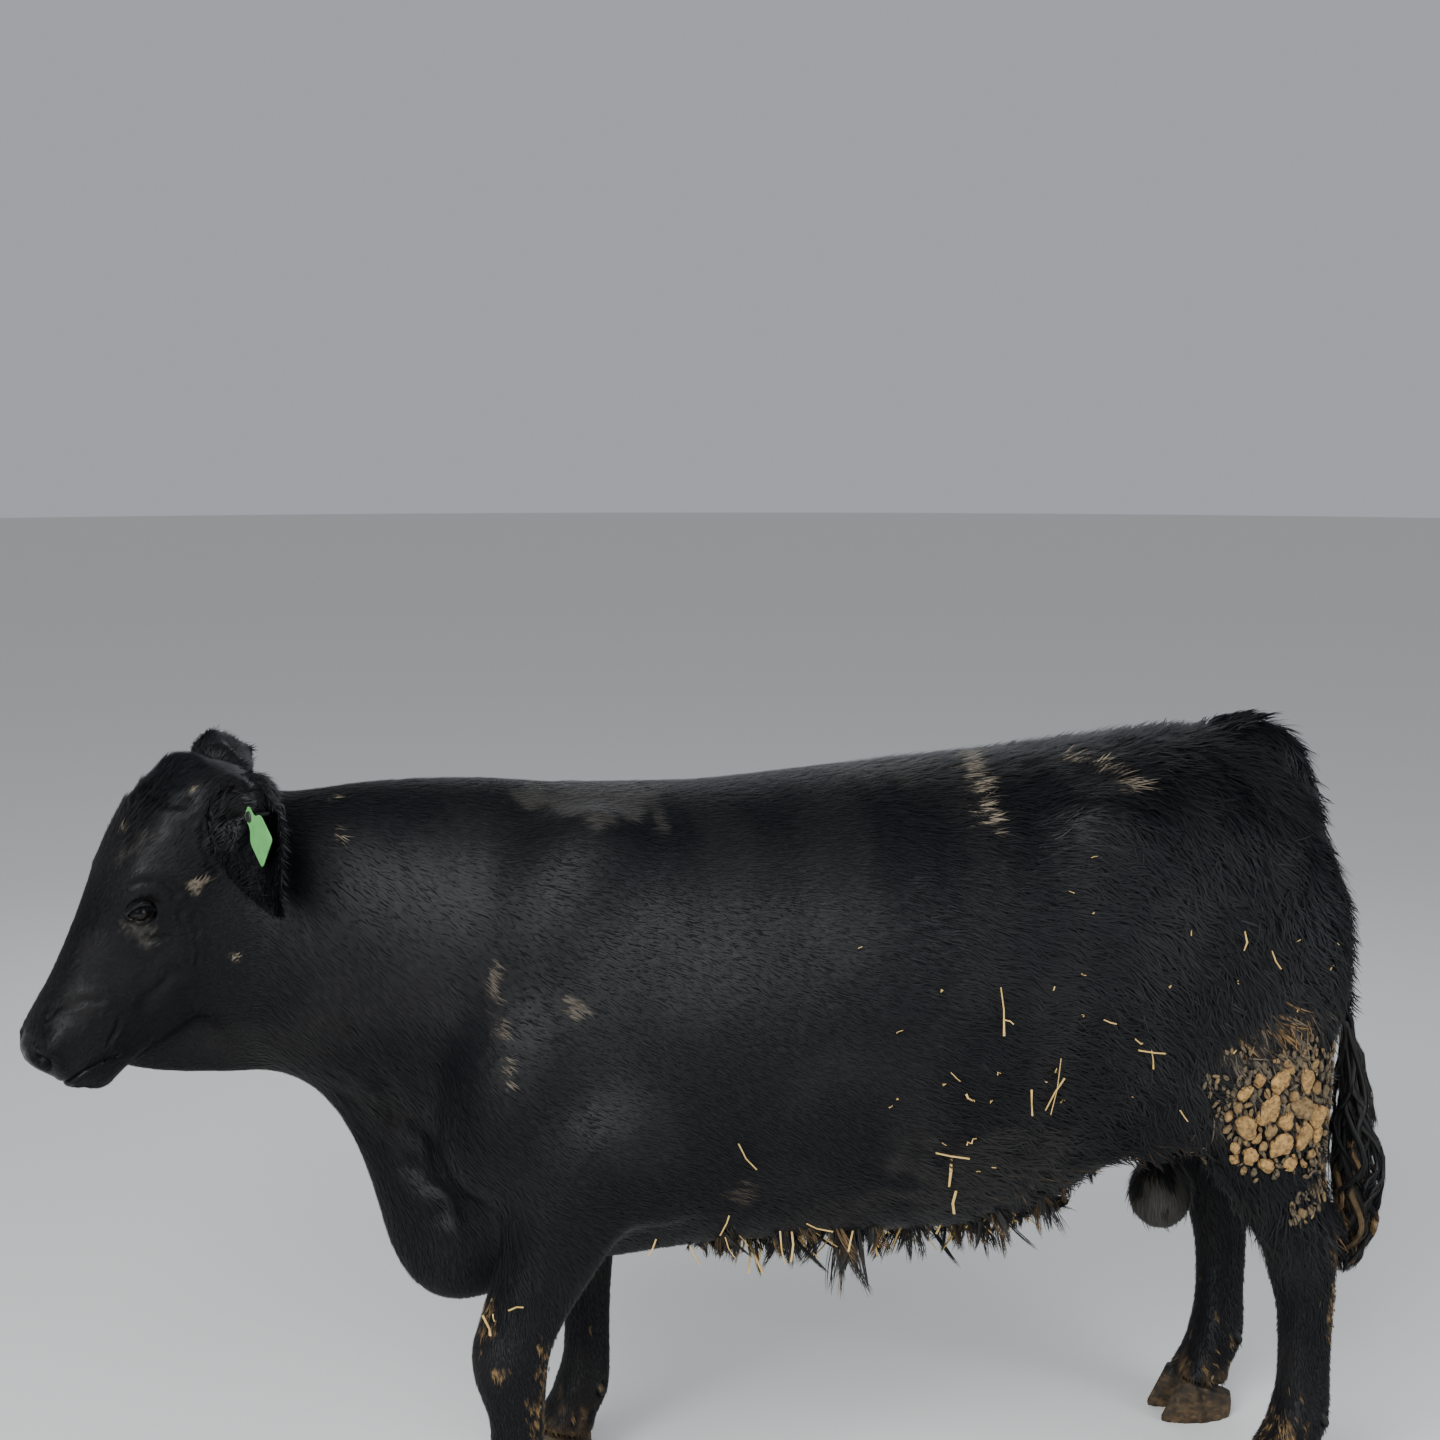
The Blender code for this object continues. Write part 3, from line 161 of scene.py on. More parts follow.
# Colours of hair, hide, horn and eye, of the soil, dust, painted sheen and wear on them, of clods with painted
# shade in their cracks, straw and tag.
# The coat's black and brown both carry a faint blue painted sheen; the spread between them is partly real tone,
# partly painted highlight and shade between tufts.
COAT_BLACK_BLUE_SHEEN, COAT_BROWN_HIGHLIGHT = (0.0009, 0.0011, 0.0020, 1), (0.0050, 0.0048, 0.0058, 1)
HIDE_BLACK, HIDE_BROWN = (0.0018, 0.0019, 0.0026, 1), (0.0028, 0.0028, 0.0034, 1)
HORN_BLACK, HORN_BROWN = (0.0075, 0.0072, 0.0075, 1), (0.010, 0.0094, 0.0092, 1)
EYE_BROWN, EYE_RAYS = (0.0050, 0.0030, 0.0020, 1), (0.010, 0.0058, 0.0034, 1)
EYE_WHITE, EYE_PUPIL = (0.012, 0.008, 0.007, 1), (0.002, 0.002, 0.003, 1)
SOIL_DAMP, SOIL_DRY = (0.105, 0.062, 0.026, 1), (0.300, 0.190, 0.085, 1)
# The dust grey is also the painted sheen of the face.
DUST_AND_SHEEN_GREY, WORN_PALE = (0.066, 0.061, 0.054, 1), (0.220, 0.180, 0.130, 1)
# The dark colours of clods and crumbs are painted shade of their cracks.
CLOD_CRACK_SHADE, CLOD_TAN = (0.130, 0.072, 0.026, 1), (0.450, 0.262, 0.085, 1)
CRUMB_CRACK_SHADE, CRUMB_GREY = (0.042, 0.032, 0.019, 1), (0.125, 0.094, 0.053, 1)
STRAW_DARK, STRAW_PALE = (0.50, 0.33, 0.10, 1), (0.62, 0.42, 0.15, 1)
TAG_GREEN, TAG_SHADE = (0.115, 0.350, 0.105, 1), (0.085, 0.290, 0.080, 1)
PIN_BLACK = (0.012, 0.012, 0.012, 1)

# Mud, pale streaks and dust on the coat: places, how far they reach, and how strong some are.
THIGH_PATCH = ((0.822, -0.235, 0.688), (0.108, 0.12, 0.108))
HOCK_PATCHES = (
    ((0.905, -0.205, 0.590), (0.022, 0.06, 0.018)),
    ((0.900, -0.210, 0.545), (0.028, 0.06, 0.024)),
    ((0.875, -0.219, 0.512), (0.024, 0.06, 0.014)),
)
MUD_SPATTER = (
    ((0.958, -0.187, 0.453), (0.020, 0.06, 0.040)),
    ((0.807, -0.266, 0.842), (0.045, 0.06, 0.030)),
    ((0.960, -0.180, 0.340), (0.020, 0.05, 0.060)),
    ((0.880, -0.184, 0.110), (0.030, 0.05, 0.040)),
    ((-0.420, -0.235, 0.480), (0.012, 0.05, 0.030)),
    ((-0.404, -0.259, 0.400), (0.012, 0.05, 0.012)),
    ((-0.340, -0.246, 0.390), (0.012, 0.05, 0.040)),
    ((-0.346, -0.246, 0.330), (0.016, 0.05, 0.040)),
)
BACK_STREAKS = (
    (((0.372, 0.01, 1.246), (0.350, -0.09, 1.236), (0.337, -0.157, 1.211)), 0.014),
    (((0.337, -0.157, 1.211), (0.342, -0.219, 1.161)), 0.009),
    (((0.342, -0.219, 1.161), (0.360, -0.257, 1.111)), 0.006),
    (((0.505, -0.074, 1.253), (0.547, -0.136, 1.238), (0.581, -0.192, 1.215)), 0.014),
)
PALE_SPOTS = (
    ((-0.294, -0.236, 0.936), (0.016, 0.03, 0.018), 0.30),
    ((-0.404, -0.200, 0.969), (0.007, 0.03, 0.034), 0.35),
    ((-0.393, -0.226, 0.902), (0.006, 0.03, 0.018), 0.30),
    ((-0.390, -0.247, 0.845), (0.006, 0.03, 0.020), 0.45),
    ((-0.620, -0.056, 1.214), (0.004, 0.02, 0.003), 0.9),
    ((-0.619, -0.096, 1.180), (0.004, 0.02, 0.004), 0.9),
    ((-0.612, -0.104, 1.168), (0.004, 0.02, 0.004), 0.9),
    ((-0.049, -0.257, 0.639), (0.018, 0.03, 0.022), 0.14),
)
DUSTY_PLACES = (
    ((-0.225, -0.090, 1.210), (0.10, 0.14, 0.04), 0.45),
    ((0.20, 0.00, 1.25), (0.10, 0.12, 0.05), 0.25),
    ((0.30, -0.25, 0.66), (0.16, 0.08, 0.09), 0.15),
    ((0.715, -0.02, 0.475), (0.05, 0.08, 0.05), 0.6),
)
# Pale places of the face in the head's axes, on its left side. The weak ones, up to the limit below, are grey
# and laid with the dust: painted sheen on brow, nose bridge and cheeks, and the grey below the eyes. The strong
# ones are worn.
FACE_SHEEN_AND_DUST_LIMIT = 0.5
FACE_SPOTS = (
    ((0.150, 0.003, -0.059), (0.018, 0.007, 0.02), 0.30),
    ((0.120, -0.006, -0.072), (0.020, 0.008, 0.02), 0.28),
    ((0.098, -0.026, -0.088), (0.014, 0.008, 0.02), 0.25),
    ((0.232, -0.058, -0.082), (0.018, 0.026, 0.02), 0.50),
    ((0.246, -0.079, -0.077), (0.010, 0.015, 0.02), 0.50),
    ((0.360, -0.030, -0.060), (0.050, 0.040, 0.03), 0.10),
    ((0.290, -0.010, -0.055), (0.040, 0.030, 0.03), 0.08),
    ((0.143, -0.101, -0.098), (0.012, 0.012, 0.02), 0.60),
    ((0.116, 0.011, -0.035), (0.005, 0.005, 0.02), 0.8),
    ((0.028, -0.037, -0.078), (0.005, 0.005, 0.02), 0.6),
    ((0.209, -0.198, -0.116), (0.003, 0.003, 0.02), 0.7),
    ((0.458, -0.033, -0.051), (0.004, 0.004, 0.01), 0.7),
)

# Each ear: its root, its direction, and the direction of its upper edge.
EARS = {
    "left": ((-0.74905, -0.124, 1.256), (0.14, -0.58, -0.80), (0.60, -0.55, 0.58)),
    "right": ((-0.78805, 0.086, 1.214), (0.08, 0.97, 0.08), (-0.34, -0.05, 0.85)),
}
EAR_SIZE = (0.200, 0.136)
EAR_WALL = 0.0042
EAR_SAG = 0.030
EAR_RINGS, EAR_ARCS = 34, 25
# The tag: its pin's place on the ear, how far it lies out of the cup, which way it hangs and faces, its size.
TAG_PLACE = (0.057, 0.004)
TAG_LOW = -0.008
TAG_DOWN = Vector((0.34, -0.70, -0.64))
TAG_FACE = Vector((-0.90, -0.41, -0.03))
TAG_SIZE = (0.062, 0.082, 0.0020)
TAG_TOP = 0.012
TAG_CORNER = 0.007
# The claws: voxel, triangles, and the spacing and depth of their growth rings.
CLAW_VOXEL = 0.0026
CLAW_TRIANGLES = 30000
CLAW_RING, CLAW_RING_DEPTH = 0.0062, 0.00045
CLAW_MARGIN = 0.003
DEWCLAW_SHARE = 0.62
# The switch: the middle of the hair from tail to tip, and its half width.
SWITCH = (
    (1.0180, -0.0761, 0.790, 0.017),
    (1.0204, -0.0915, 0.680, 0.029),
    (1.0300, -0.1000, 0.570, 0.040),
    (1.0340, -0.1040, 0.480, 0.036),
    (1.0290, -0.1050, 0.410, 0.026),
    (1.0220, -0.1050, 0.360, 0.012),
)
# Straw caught in the coat, from end to end.
STRAWS = (
    ((0.326, -0.318, 0.948), (0.331, -0.322, 0.876)),
    ((0.330, -0.320, 0.900), (0.345, -0.322, 0.893)),
    ((0.425, -0.310, 0.832), (0.413, -0.305, 0.745)),
    ((0.433, -0.306, 0.800), (0.405, -0.304, 0.752)),
    ((0.566, -0.268, 0.822), (0.612, -0.262, 0.812)),
    ((0.588, -0.266, 0.820), (0.592, -0.266, 0.790)),
    ((0.778, -0.270, 0.965), (0.796, -0.266, 0.935)),
    ((0.738, -0.258, 0.995), (0.738, -0.258, 0.965)),
    ((-0.058, -0.290, 0.730), (-0.030, -0.283, 0.687)),
    ((0.232, -0.318, 0.704), (0.284, -0.314, 0.690)),
    ((0.262, -0.296, 0.690), (0.262, -0.290, 0.640)),
    ((0.274, -0.286, 0.630), (0.280, -0.262, 0.585)),
    ((0.248, -0.330, 0.829), (0.262, -0.330, 0.815)),
    ((0.272, -0.330, 0.795), (0.280, -0.328, 0.785)),
    ((0.377, -0.318, 0.790), (0.379, -0.318, 0.750)),
    ((0.640, -0.262, 0.720), (0.655, -0.258, 0.700)),
    ((-0.392, -0.272, 0.500), (-0.370, -0.270, 0.502)),
    ((-0.428, -0.262, 0.492), (-0.418, -0.266, 0.462)),
    ((-0.414, -0.268, 0.495), (-0.412, -0.268, 0.484)),
    ((-0.176, -0.270, 0.588), (-0.190, -0.276, 0.566)),
    ((-0.060, -0.235, 0.600), (-0.075, -0.240, 0.572)),
    ((0.020, -0.225, 0.565), (0.026, -0.232, 0.515)),
    ((-0.065, -0.230, 0.565), (-0.052, -0.236, 0.535)),
    ((0.060, -0.230, 0.575), (0.100, -0.232, 0.560)),
    ((0.130, -0.235, 0.560), (0.122, -0.240, 0.530)),
    ((-0.120, -0.240, 0.560), (-0.105, -0.240, 0.530)),
    ((0.560, -0.268, 0.840), (0.572, -0.266, 0.832)),
    ((0.500, -0.290, 0.880), (0.520, -0.288, 0.872)),
)


def on_head(along, out, right):
    """A point of the head, from its own axes."""
    return POLL + FACE_ALONG * along + FACE_OUT * out + HEAD_RIGHT * right


def step(value, start, end):
    """A smooth step from 0 at start to 1 at end, for arrays."""
    t = np.clip((value - start) / (end - start), 0, 1)
    return t * t * (3 - 2 * t)


def waves(points, size, seed, octaves=10):
    """Smooth noise between about -1 and 1, with features of a size, from a sum of sines."""
    draw = np.random.default_rng(seed)
    turns = draw.normal(size=(octaves, 3))
    turns *= (2 * math.pi / size) * (draw.uniform(0.6, 1.5, octaves) / np.linalg.norm(turns, axis=1))[:, None]
    total = np.sin(points @ turns.T + draw.uniform(0, 2 * math.pi, octaves)).sum(1)
    return total / math.sqrt(octaves / 2) / 1.6


def drift(points, size, seeds):
    """A smooth vector noise, one seed for each axis."""
    return np.stack([waves(points, size, seed) for seed in seeds], 1)


def head_place(points):
    """Points in the head's axes: along, out, right."""
    return (points - np.array(POLL)) @ HEAD_AXES.T


def head_share(points):
    """How much each point belongs to the head."""
    return step(-points[:, 0], 0.70, 0.78) * step(points[:, 2], 0.68, 0.76)


def link(obj):
    """Puts an object in the scene."""
    bpy.context.scene.collection.objects.link(obj)
    return obj


def object_of(name, bm):
    """An object with a bmesh as its mesh."""
    mesh = bpy.data.meshes.new(name)
    bm.to_mesh(mesh)
    bm.free()
    return link(bpy.data.objects.new(name, mesh))


def settle(obj):
    """Makes an object's modifiers part of its mesh."""
    graph = bpy.context.evaluated_depsgraph_get()
    mesh = bpy.data.meshes.new_from_object(obj.evaluated_get(graph))
    obj.modifiers.clear()
    old = obj.data
    obj.data = mesh
    bpy.data.meshes.remove(old)


def fused(obj, size):
    """Makes an object one closed surface of voxels of a size."""
    remesh = obj.modifiers.new("fuse", "REMESH")
    remesh.mode = "VOXEL"
    remesh.voxel_size = size
    settle(obj)


def thinned(obj, triangles):
    """Thins an object's quads to a number of triangles."""
    thin = obj.modifiers.new("thin", "DECIMATE")
    thin.ratio = min(1, triangles / (2 * len(obj.data.polygons)))
    settle(obj)


def points_of(mesh):
    """A mesh's points as rows."""
    co = np.empty(len(mesh.vertices) * 3, np.float32)
    mesh.vertices.foreach_get("co", co)
    return co.reshape(-1, 3).astype(float)


def normals_of(mesh):
    """The normals at a mesh's points."""
    normals = np.empty(len(mesh.vertices) * 3, np.float32)
    mesh.vertices.foreach_get("normal", normals)
    return normals.reshape(-1, 3).astype(float)


def set_points(mesh, co):
    """Moves a mesh's points."""
    mesh.vertices.foreach_set("co", co.astype(np.float32).ravel())
    mesh.update()


def edges_of(mesh):
    """The two ends of each edge of a mesh."""
    ends = np.empty(len(mesh.edges) * 2, np.int32)
    mesh.edges.foreach_get("vertices", ends)
    return ends.reshape(-1, 2)


def relaxed(co, ends, weight, rounds, factor=0.5):
    """Points drawn towards the mean of their neighbours, by their weights."""
    a, b = ends[:, 0], ends[:, 1]
    count = len(co)
    degree = np.bincount(a, minlength=count) + np.bincount(b, minlength=count)
    weight = (weight * factor)[:, None]
    for _ in range(rounds):
        mean = np.empty_like(co)
        for axis in range(3):
            total = np.bincount(a, co[b, axis], count) + np.bincount(b, co[a, axis], count)
            mean[:, axis] = total / degree
        co = co + weight * (mean - co)
    return co


def belly_floor(x, y):
    """The height of the belly's skin under the fringe."""
    half = 0.32 - 0.9 * np.maximum(0, x - 0.35) ** 1.5
    share = np.clip(np.abs(y) / half, 0, 1)
    return 0.82 - 0.330 * (1 - share**2.35) ** (1 / 2.35) - 0.022 * step(-np.abs(y), -0.11, -0.03)


def flesh_surface():
    """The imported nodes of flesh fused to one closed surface, without the solid locks of the belly."""
    bm = bmesh.new()
    for name in FLESH:
        bm.from_mesh(NODES[name].data)
    bmesh.ops.remove_doubles(bm, verts=bm.verts, dist=1e-5)
    bm.normal_update()
    for vert in bm.verts:
        vert.co += vert.normal * JOINT_OVERLAP
    for side in ("left", "right"):
        low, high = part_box("eye_" + side)
        place = Matrix.Translation((low + high) / 2)
        bmesh.ops.create_uvsphere(bm, u_segments=24, v_segments=16, radius=EYE_RADIUS + 0.001, matrix=place)
    skin = object_of("skin", bm)
    co = points_of(skin.data)
    floor = belly_floor(co[:, 0], co[:, 1])
    x, y, z = co.T
    under = (x > BELLY_FROM) & (x < BELLY_TO) & (np.abs(y) < BELLY_HALF) & (z < floor) & (z > BELLY_LOW)
    co[under, 2] = floor[under]
    set_points(skin.data, co)
    fused(skin, SKIN_VOXEL)
    return skin


def coat_depth(co):
    """How far the skin lies under the tips of the coat."""
    x, _, z = co.T
    depth = 0.006 + 0.005 * step(x, -0.25, 0.15)
    depth += 0.002 * step(x, 0.3, 0.5)
    leg = 1 - step(z, 0.44, 0.56)
    depth = depth * (1 - leg) + 0.0035 * leg
    head = head_share(co)
    return depth * (1 - head) + 0.0022 * head


def refine(mesh, chosen):
    """Divides the edges among the chosen vertices once."""
    bm = bmesh.new()
    bm.from_mesh(mesh)
    bm.verts.ensure_lookup_table()
    edges = [edge for edge in bm.edges if chosen[edge.verts[0].index] and chosen[edge.verts[1].index]]
    bmesh.ops.subdivide_edges(bm, edges=edges, cuts=1, use_grid_fill=True)
    bm.to_mesh(mesh)
    bm.free()


def eye_frames():
    """Each eye's centre, with X out of the head, Y along the opening and Z across it, as rows of a matrix."""
    frames = {}
    for side, word in ((-1, "left"), (1, "right")):
        low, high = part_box("eye_" + word)
        out = HEAD_RIGHT * side
        slit = FACE_ALONG * math.cos(EYE_SLANT) + FACE_OUT * math.sin(EYE_SLANT)
        slit = (slit - out * slit.dot(out)).normalized()
        across = out.cross(slit)
        if across.z < 0:
            across = -across
        frames[word] = (np.array((low + high) / 2), np.array([out, slit, across]))
    return frames


def near_eyes(co, reach):
    """Which points lie near an eye."""
    away = [np.linalg.norm(co - centre, axis=1) for centre, _ in eye_frames().values()]
    return np.min(away, axis=0) < reach


def almond(y, z):
    """How far a place lies from the middle of the opening of the eye: 1 is the edge of the lids."""
    length, height = EYE_OPENING
    share = np.clip(np.abs(y) / length, 0, 1)
    return np.sqrt((y / length) ** 2 + (z / (height * (1 - 0.38 * share * share))) ** 2)


def line_distance(co, points):
    """The distance of each point from a line through points."""
    best = np.full(len(co), 1e9)
    for a, b in zip(points, points[1:]):
        a, b = np.array(a), np.array(b)
        along = np.clip(((co - a) @ (b - a)) / ((b - a) @ (b - a)), 0, 1)
        best = np.minimum(best, np.linalg.norm(co - a - along[:, None] * (b - a), axis=1))
    return best


def smooth_line(points, steps=6):
    """A line through points without corners, by Catmull and Rom's rule."""
    rows = np.array(points, float)
    last = len(rows) - 1
    run = []
    for i in range(last):
        a, b, c, d = rows[max(i - 1, 0)], rows[i], rows[i + 1], rows[min(i + 2, last)]
        for t in np.arange(steps) / steps:
            run.append(b + 0.5 * t * (c - a + t * (2 * a - 5 * b + 4 * c - d + t * (3 * (b - c) + d - a))))
    return run + [rows[-1]]


def snapped(tree, points):
    """A line laid on the skin."""
    return [np.array(tree.find_nearest(Vector(point))[0]) for point in points]


def sculpt_creases(co, normals, tree):
    """The creases of face, neck and dewlap, with a slight roll beside each."""
    move = np.zeros(len(co))
    near_head = np.flatnonzero(co[:, 0] < -0.60)
    bent = co[near_head] + 0.0035 * drift(co[near_head], 0.035, (71, 72, 73))
    creases = [
        ([on_head(a, o, side * r) for a, o, r in smooth_line(points)], width, depth)
        for points, width, depth in FACE_CREASES
        for side in (-1, 1)
    ]
    for points, width, depth in creases:
        away = line_distance(bent, snapped(tree, points)) / width
        move[near_head] -= depth * (np.exp(-away * away) - 0.35 * np.exp(-((away - 2.0) ** 2)))
    front = np.flatnonzero(co[:, 0] < -0.30)
    wander = co[front] + 0.012 * drift(co[front], 0.10, (74, 75, 76))
    for points, side, width, depth in BODY_FOLDS:
        line = smooth_line([(x, side * y, z) for x, y, z in points])
        away = line_distance(wander, snapped(tree, line)) / width
        move[front] -= depth * (np.exp(-away * away) - 0.4 * np.exp(-((away - 1.8) ** 2)))
    wrinkle = step(-co[:, 0], 0.36, 0.50) * (1 - step(-co[:, 0], 0.66, 0.74)) * step(co[:, 2], 0.80, 0.95)
    ripple = np.sin(co[:, 0] * 210 + 2.2 * waves(co, 0.16, 5)) * (0.5 + 0.5 * waves(co, 0.09, 6))
    move += 0.0006 * wrinkle * ripple
    return co + normals * move[:, None]


def mouth_points():
    """The line of the mouth, from its left corner to its right one."""
    return [on_head(a, o, -r) for a, o, r in reversed(MOUTH)] + [on_head(*point) for point in MOUTH[1:]]


def sculpt_mouth(co, normals, tree):
    """The line of the mouth and the nostrils."""
    line = snapped(tree, smooth_line(mouth_points()))
    near = np.flatnonzero(head_place(co)[:, 0] > 0.36)
    away = line_distance(co[near], line)
    sunk = 0.0055 * np.exp(-((away / 0.0022) ** 2)) - 0.0010 * np.exp(-(((away - 0.009) / 0.005) ** 2))
    co[near] -= normals[near] * sunk[:, None]
    centre, half_size = NOSTRIL
    for side in (-1, 1):
        local = head_place(co[near]) - np.array([centre[0], centre[1], side * centre[2]])
        turn = local.copy()
        turn[:, 0] = local[:, 0] * 0.86 + local[:, 1] * 0.50
        turn[:, 1] = -local[:, 0] * 0.50 + local[:, 1] * 0.86
        reach = np.sqrt(((turn / np.array(half_size) * np.array([1, 1, 0.55])) ** 2).sum(1))
        sunk = 0.021 * (1 - step(reach, 0.50, 1.0)) - 0.0018 * np.exp(-(((reach - 1.35) / 0.25) ** 2))
        co[near] -= normals[near] * sunk[:, None]
    return co


def sculpt_eyes(co):
    """The lids wrapped over each eye, with the opening between them."""
    for centre, axes in eye_frames().values():
        local = (co - centre) @ axes.T
        near = (np.abs(local[:, 1]) < 0.055) & (np.abs(local[:, 2]) < 0.055) & (local[:, 0] > -0.010)
        x, y, z = local[near].T
        edge = almond(y, z)
        pull = np.clip((edge - 1) / edge * np.exp(-(((edge - 1) / 0.16) ** 2)), -0.2, 0.2)
        y, z = y * (1 - pull), z * (1 - pull)
        edge = almond(y, z)
        flat = np.sqrt(y * y + z * z)
        upper = step(z, -0.002, 0.004)
        thick = LID + 0.0012 * upper - 0.0016 * np.exp(-(((edge - 1.75) / 0.22) ** 2)) * (0.5 + upper)
        thick += 0.0010 * np.exp(-(((edge - 1.25) / 0.2) ** 2))
        shell = np.sqrt(np.maximum((EYE_RADIUS + thick) ** 2 - flat**2, 1e-8))
        sunk = np.sqrt(np.maximum((EYE_RADIUS - 0.005) ** 2 - np.minimum(flat, 0.0145) ** 2, 1e-8))
        target = np.where(edge < 1, sunk, shell)
        weight = 1 - step(edge, 1.5, 2.5)
        weight = np.where(flat < EYE_RADIUS + 0.002, weight, 0)
        x = x + weight * (target - x)
        co[near] = np.stack([x, y, z], 1) @ axes + centre
    return co


def make_skin():
    """The one skin of body and head, drawn in by the depth of the coat."""
    skin = flesh_surface()
    mesh = skin.data
    co, ends = points_of(mesh), edges_of(mesh)
    head = head_share(co)
    tail = step(co[:, 0], 0.90, 0.93) * step(co[:, 2], 0.5, 0.6)
    leg = 1 - step(co[:, 2], 0.40, 0.56)
    weight = 1 - 0.75 * np.maximum(np.maximum(head, leg), tail)
    co = relaxed(co, ends, weight, 60)
    x, y, z = co.T
    fringe = step(x, -0.20, -0.10) * (1 - step(x, 0.50, 0.62)) * (1 - step(z, 0.52, 0.60))
    fringe *= step(-np.abs(y), -0.24, -0.19)
    co = relaxed(co, ends, fringe, 60)
    set_points(mesh, co)
    co = co - normals_of(mesh) * coat_depth(co)[:, None]
    co = relaxed(co, ends, np.ones(len(co)), 3)
    set_points(mesh, co)
    refine(mesh, (head_share(co) > 0.25) | ((co[:, 0] < -0.60) & (co[:, 2] > 0.9)))
    co = points_of(mesh)
    refine(mesh, (head_place(co)[:, 0] > 0.37) | near_eyes(co, EYE_FINE))
    refine(mesh, near_eyes(points_of(mesh), EYE_FINEST))
    co, ends = points_of(mesh), edges_of(mesh)
    co = relaxed(co, ends, step(head_share(co), 0.2, 0.5), 4)
    set_points(mesh, co)
    normals = normals_of(mesh)
    tree = BVHTree.FromObject(skin, bpy.context.evaluated_depsgraph_get())
    co = sculpt_creases(co, normals, tree)
    co = sculpt_mouth(co, normals, tree)
    co = sculpt_eyes(co)
    set_points(mesh, co)
    thinned(skin, SKIN_TRIANGLES)
    return skin


def skin_parts(mesh):
    """The skin's points, normals and triangles."""
    mesh.calc_loop_triangles()
    faces = np.empty(len(mesh.loop_triangles) * 3, np.int32)
    mesh.loop_triangles.foreach_get("vertices", faces)
    return points_of(mesh), normals_of(mesh), faces.reshape(-1, 3)


def blob(points, centre, reach, noise=0.0, size=0.03, seed=0):
    """A soft patch around a centre: 1 inside, 0 outside, its edge broken up by noise."""
    away = np.linalg.norm((points - np.array(centre)) / np.array(reach), axis=1)
    if noise:
        away = away + noise * waves(points, size, seed)
    return 1 - step(away, 0.75, 1.1)


def streak(points, line, width):
    """A soft streak along a line."""
    away = line_distance(points, line) / width
    return 1 - step(away + 0.6 * waves(points, 0.02, 23), 0.5, 1.2)


def markings(points):
    """Mud, dust, painted sheen and worn spots of the coat at each point: shares of mud, of dust with painted
    sheen, and of pale, worn hair.
    """
    x, y, z = points.T
    marks = np.zeros((3, len(points)))
    mud, dust_and_sheen, pale = range(3)

    def lay(kind, share):
        marks[kind] = np.maximum(marks[kind], share)

    speckle = waves(points, 0.012, 31, 14)
    high = blob(points, THIGH_PATCH[0] + np.array([-0.01, 0, 0.085]), (0.100, 0.12, 0.085), 0.45, 0.04, 34)
    high *= step(waves(points * np.array([1, 1, 0.35]), 0.013, 33, 14), -0.2, 0.6) * step(z, 0.66, 0.72)
    for kind, strength in ((mud, 0.16), (dust_and_sheen, 0.85), (pale, 0.20)):
        lay(kind, strength * high)
    for centre, reach in MUD_SPATTER:
        lay(mud, 0.7 * blob(points, centre, reach, 0.5, 0.02, 22) * step(speckle, -0.1, 0.5))
    for line, width in BACK_STREAKS:
        lay(pale, streak(points, line, width))
    for centre, reach, strength in PALE_SPOTS:
        lay(pale, strength * blob(points, centre, reach, 0.45, 0.015, 24) * step(speckle, -0.9, 0.3))
    for centre, reach, strength in DUSTY_PLACES:
        lay(dust_and_sheen, strength * blob(points, centre, reach, 0.4, 0.06, 25))
    head = head_place(points)
    # Weak face spots go in with the dust as painted sheen on brow, nose bridge and cheeks; strong ones are
    # worn, pale hair.
    for place, reach, strength in FACE_SPOTS:
        away = np.linalg.norm((head - np.array(place)) / np.array(reach), axis=1)
        spot = (1 - step(away + 0.35 * waves(points, 0.012, 26), 0.4, 1.2)) * strength
        lay(pale if strength > FACE_SHEEN_AND_DUST_LIMIT else dust_and_sheen, spot)
    legs = 1 - step(z, 0.05, 0.30)
    splash = step(waves(points, 0.022, 27, 12), 1.75 - 0.75 * legs, 2.05 - 0.75 * legs)
    lay(mud, np.where(z < 0.45, splash, 0) * (0.3 + 0.4 * legs))
    foot = (1 - step(z + 0.03 * waves(points, 0.04, 28), 0.02, 0.12)) * 0.5
    lay(mud, foot * (0.4 + 0.6 * step(speckle, -0.5, 0.5)))
    belly = (1 - step(z, 0.47, 0.54)) * step(x, -0.16, -0.06) * (1 - step(x, 0.50, 0.60))
    belly *= step(-np.abs(y), -0.25, -0.18)
    lay(mud, belly * step(waves(points, 0.04, 29), 0.1, 0.8) * 0.8)
    crust = step(waves(points, 0.02, 30, 12), 0.95, 1.35) * step(x, 0.25, 0.45) * (1 - step(z, 0.58, 0.70))
    lay(mud, crust * 0.4 * (1 - step(x, 0.65, 0.75)))
    lay(dust_and_sheen, 0.06 * step(waves(points, 0.20, 32), -0.2, 0.9))
    return np.clip(marks.T, 0, 1)


def tangent(normals, ways):
    """Directions laid on the surface and made of unit length."""
    ways = ways - normals * (ways * normals).sum(1)[:, None]
    return ways / np.maximum(np.linalg.norm(ways, axis=1), 1e-6)[:, None]


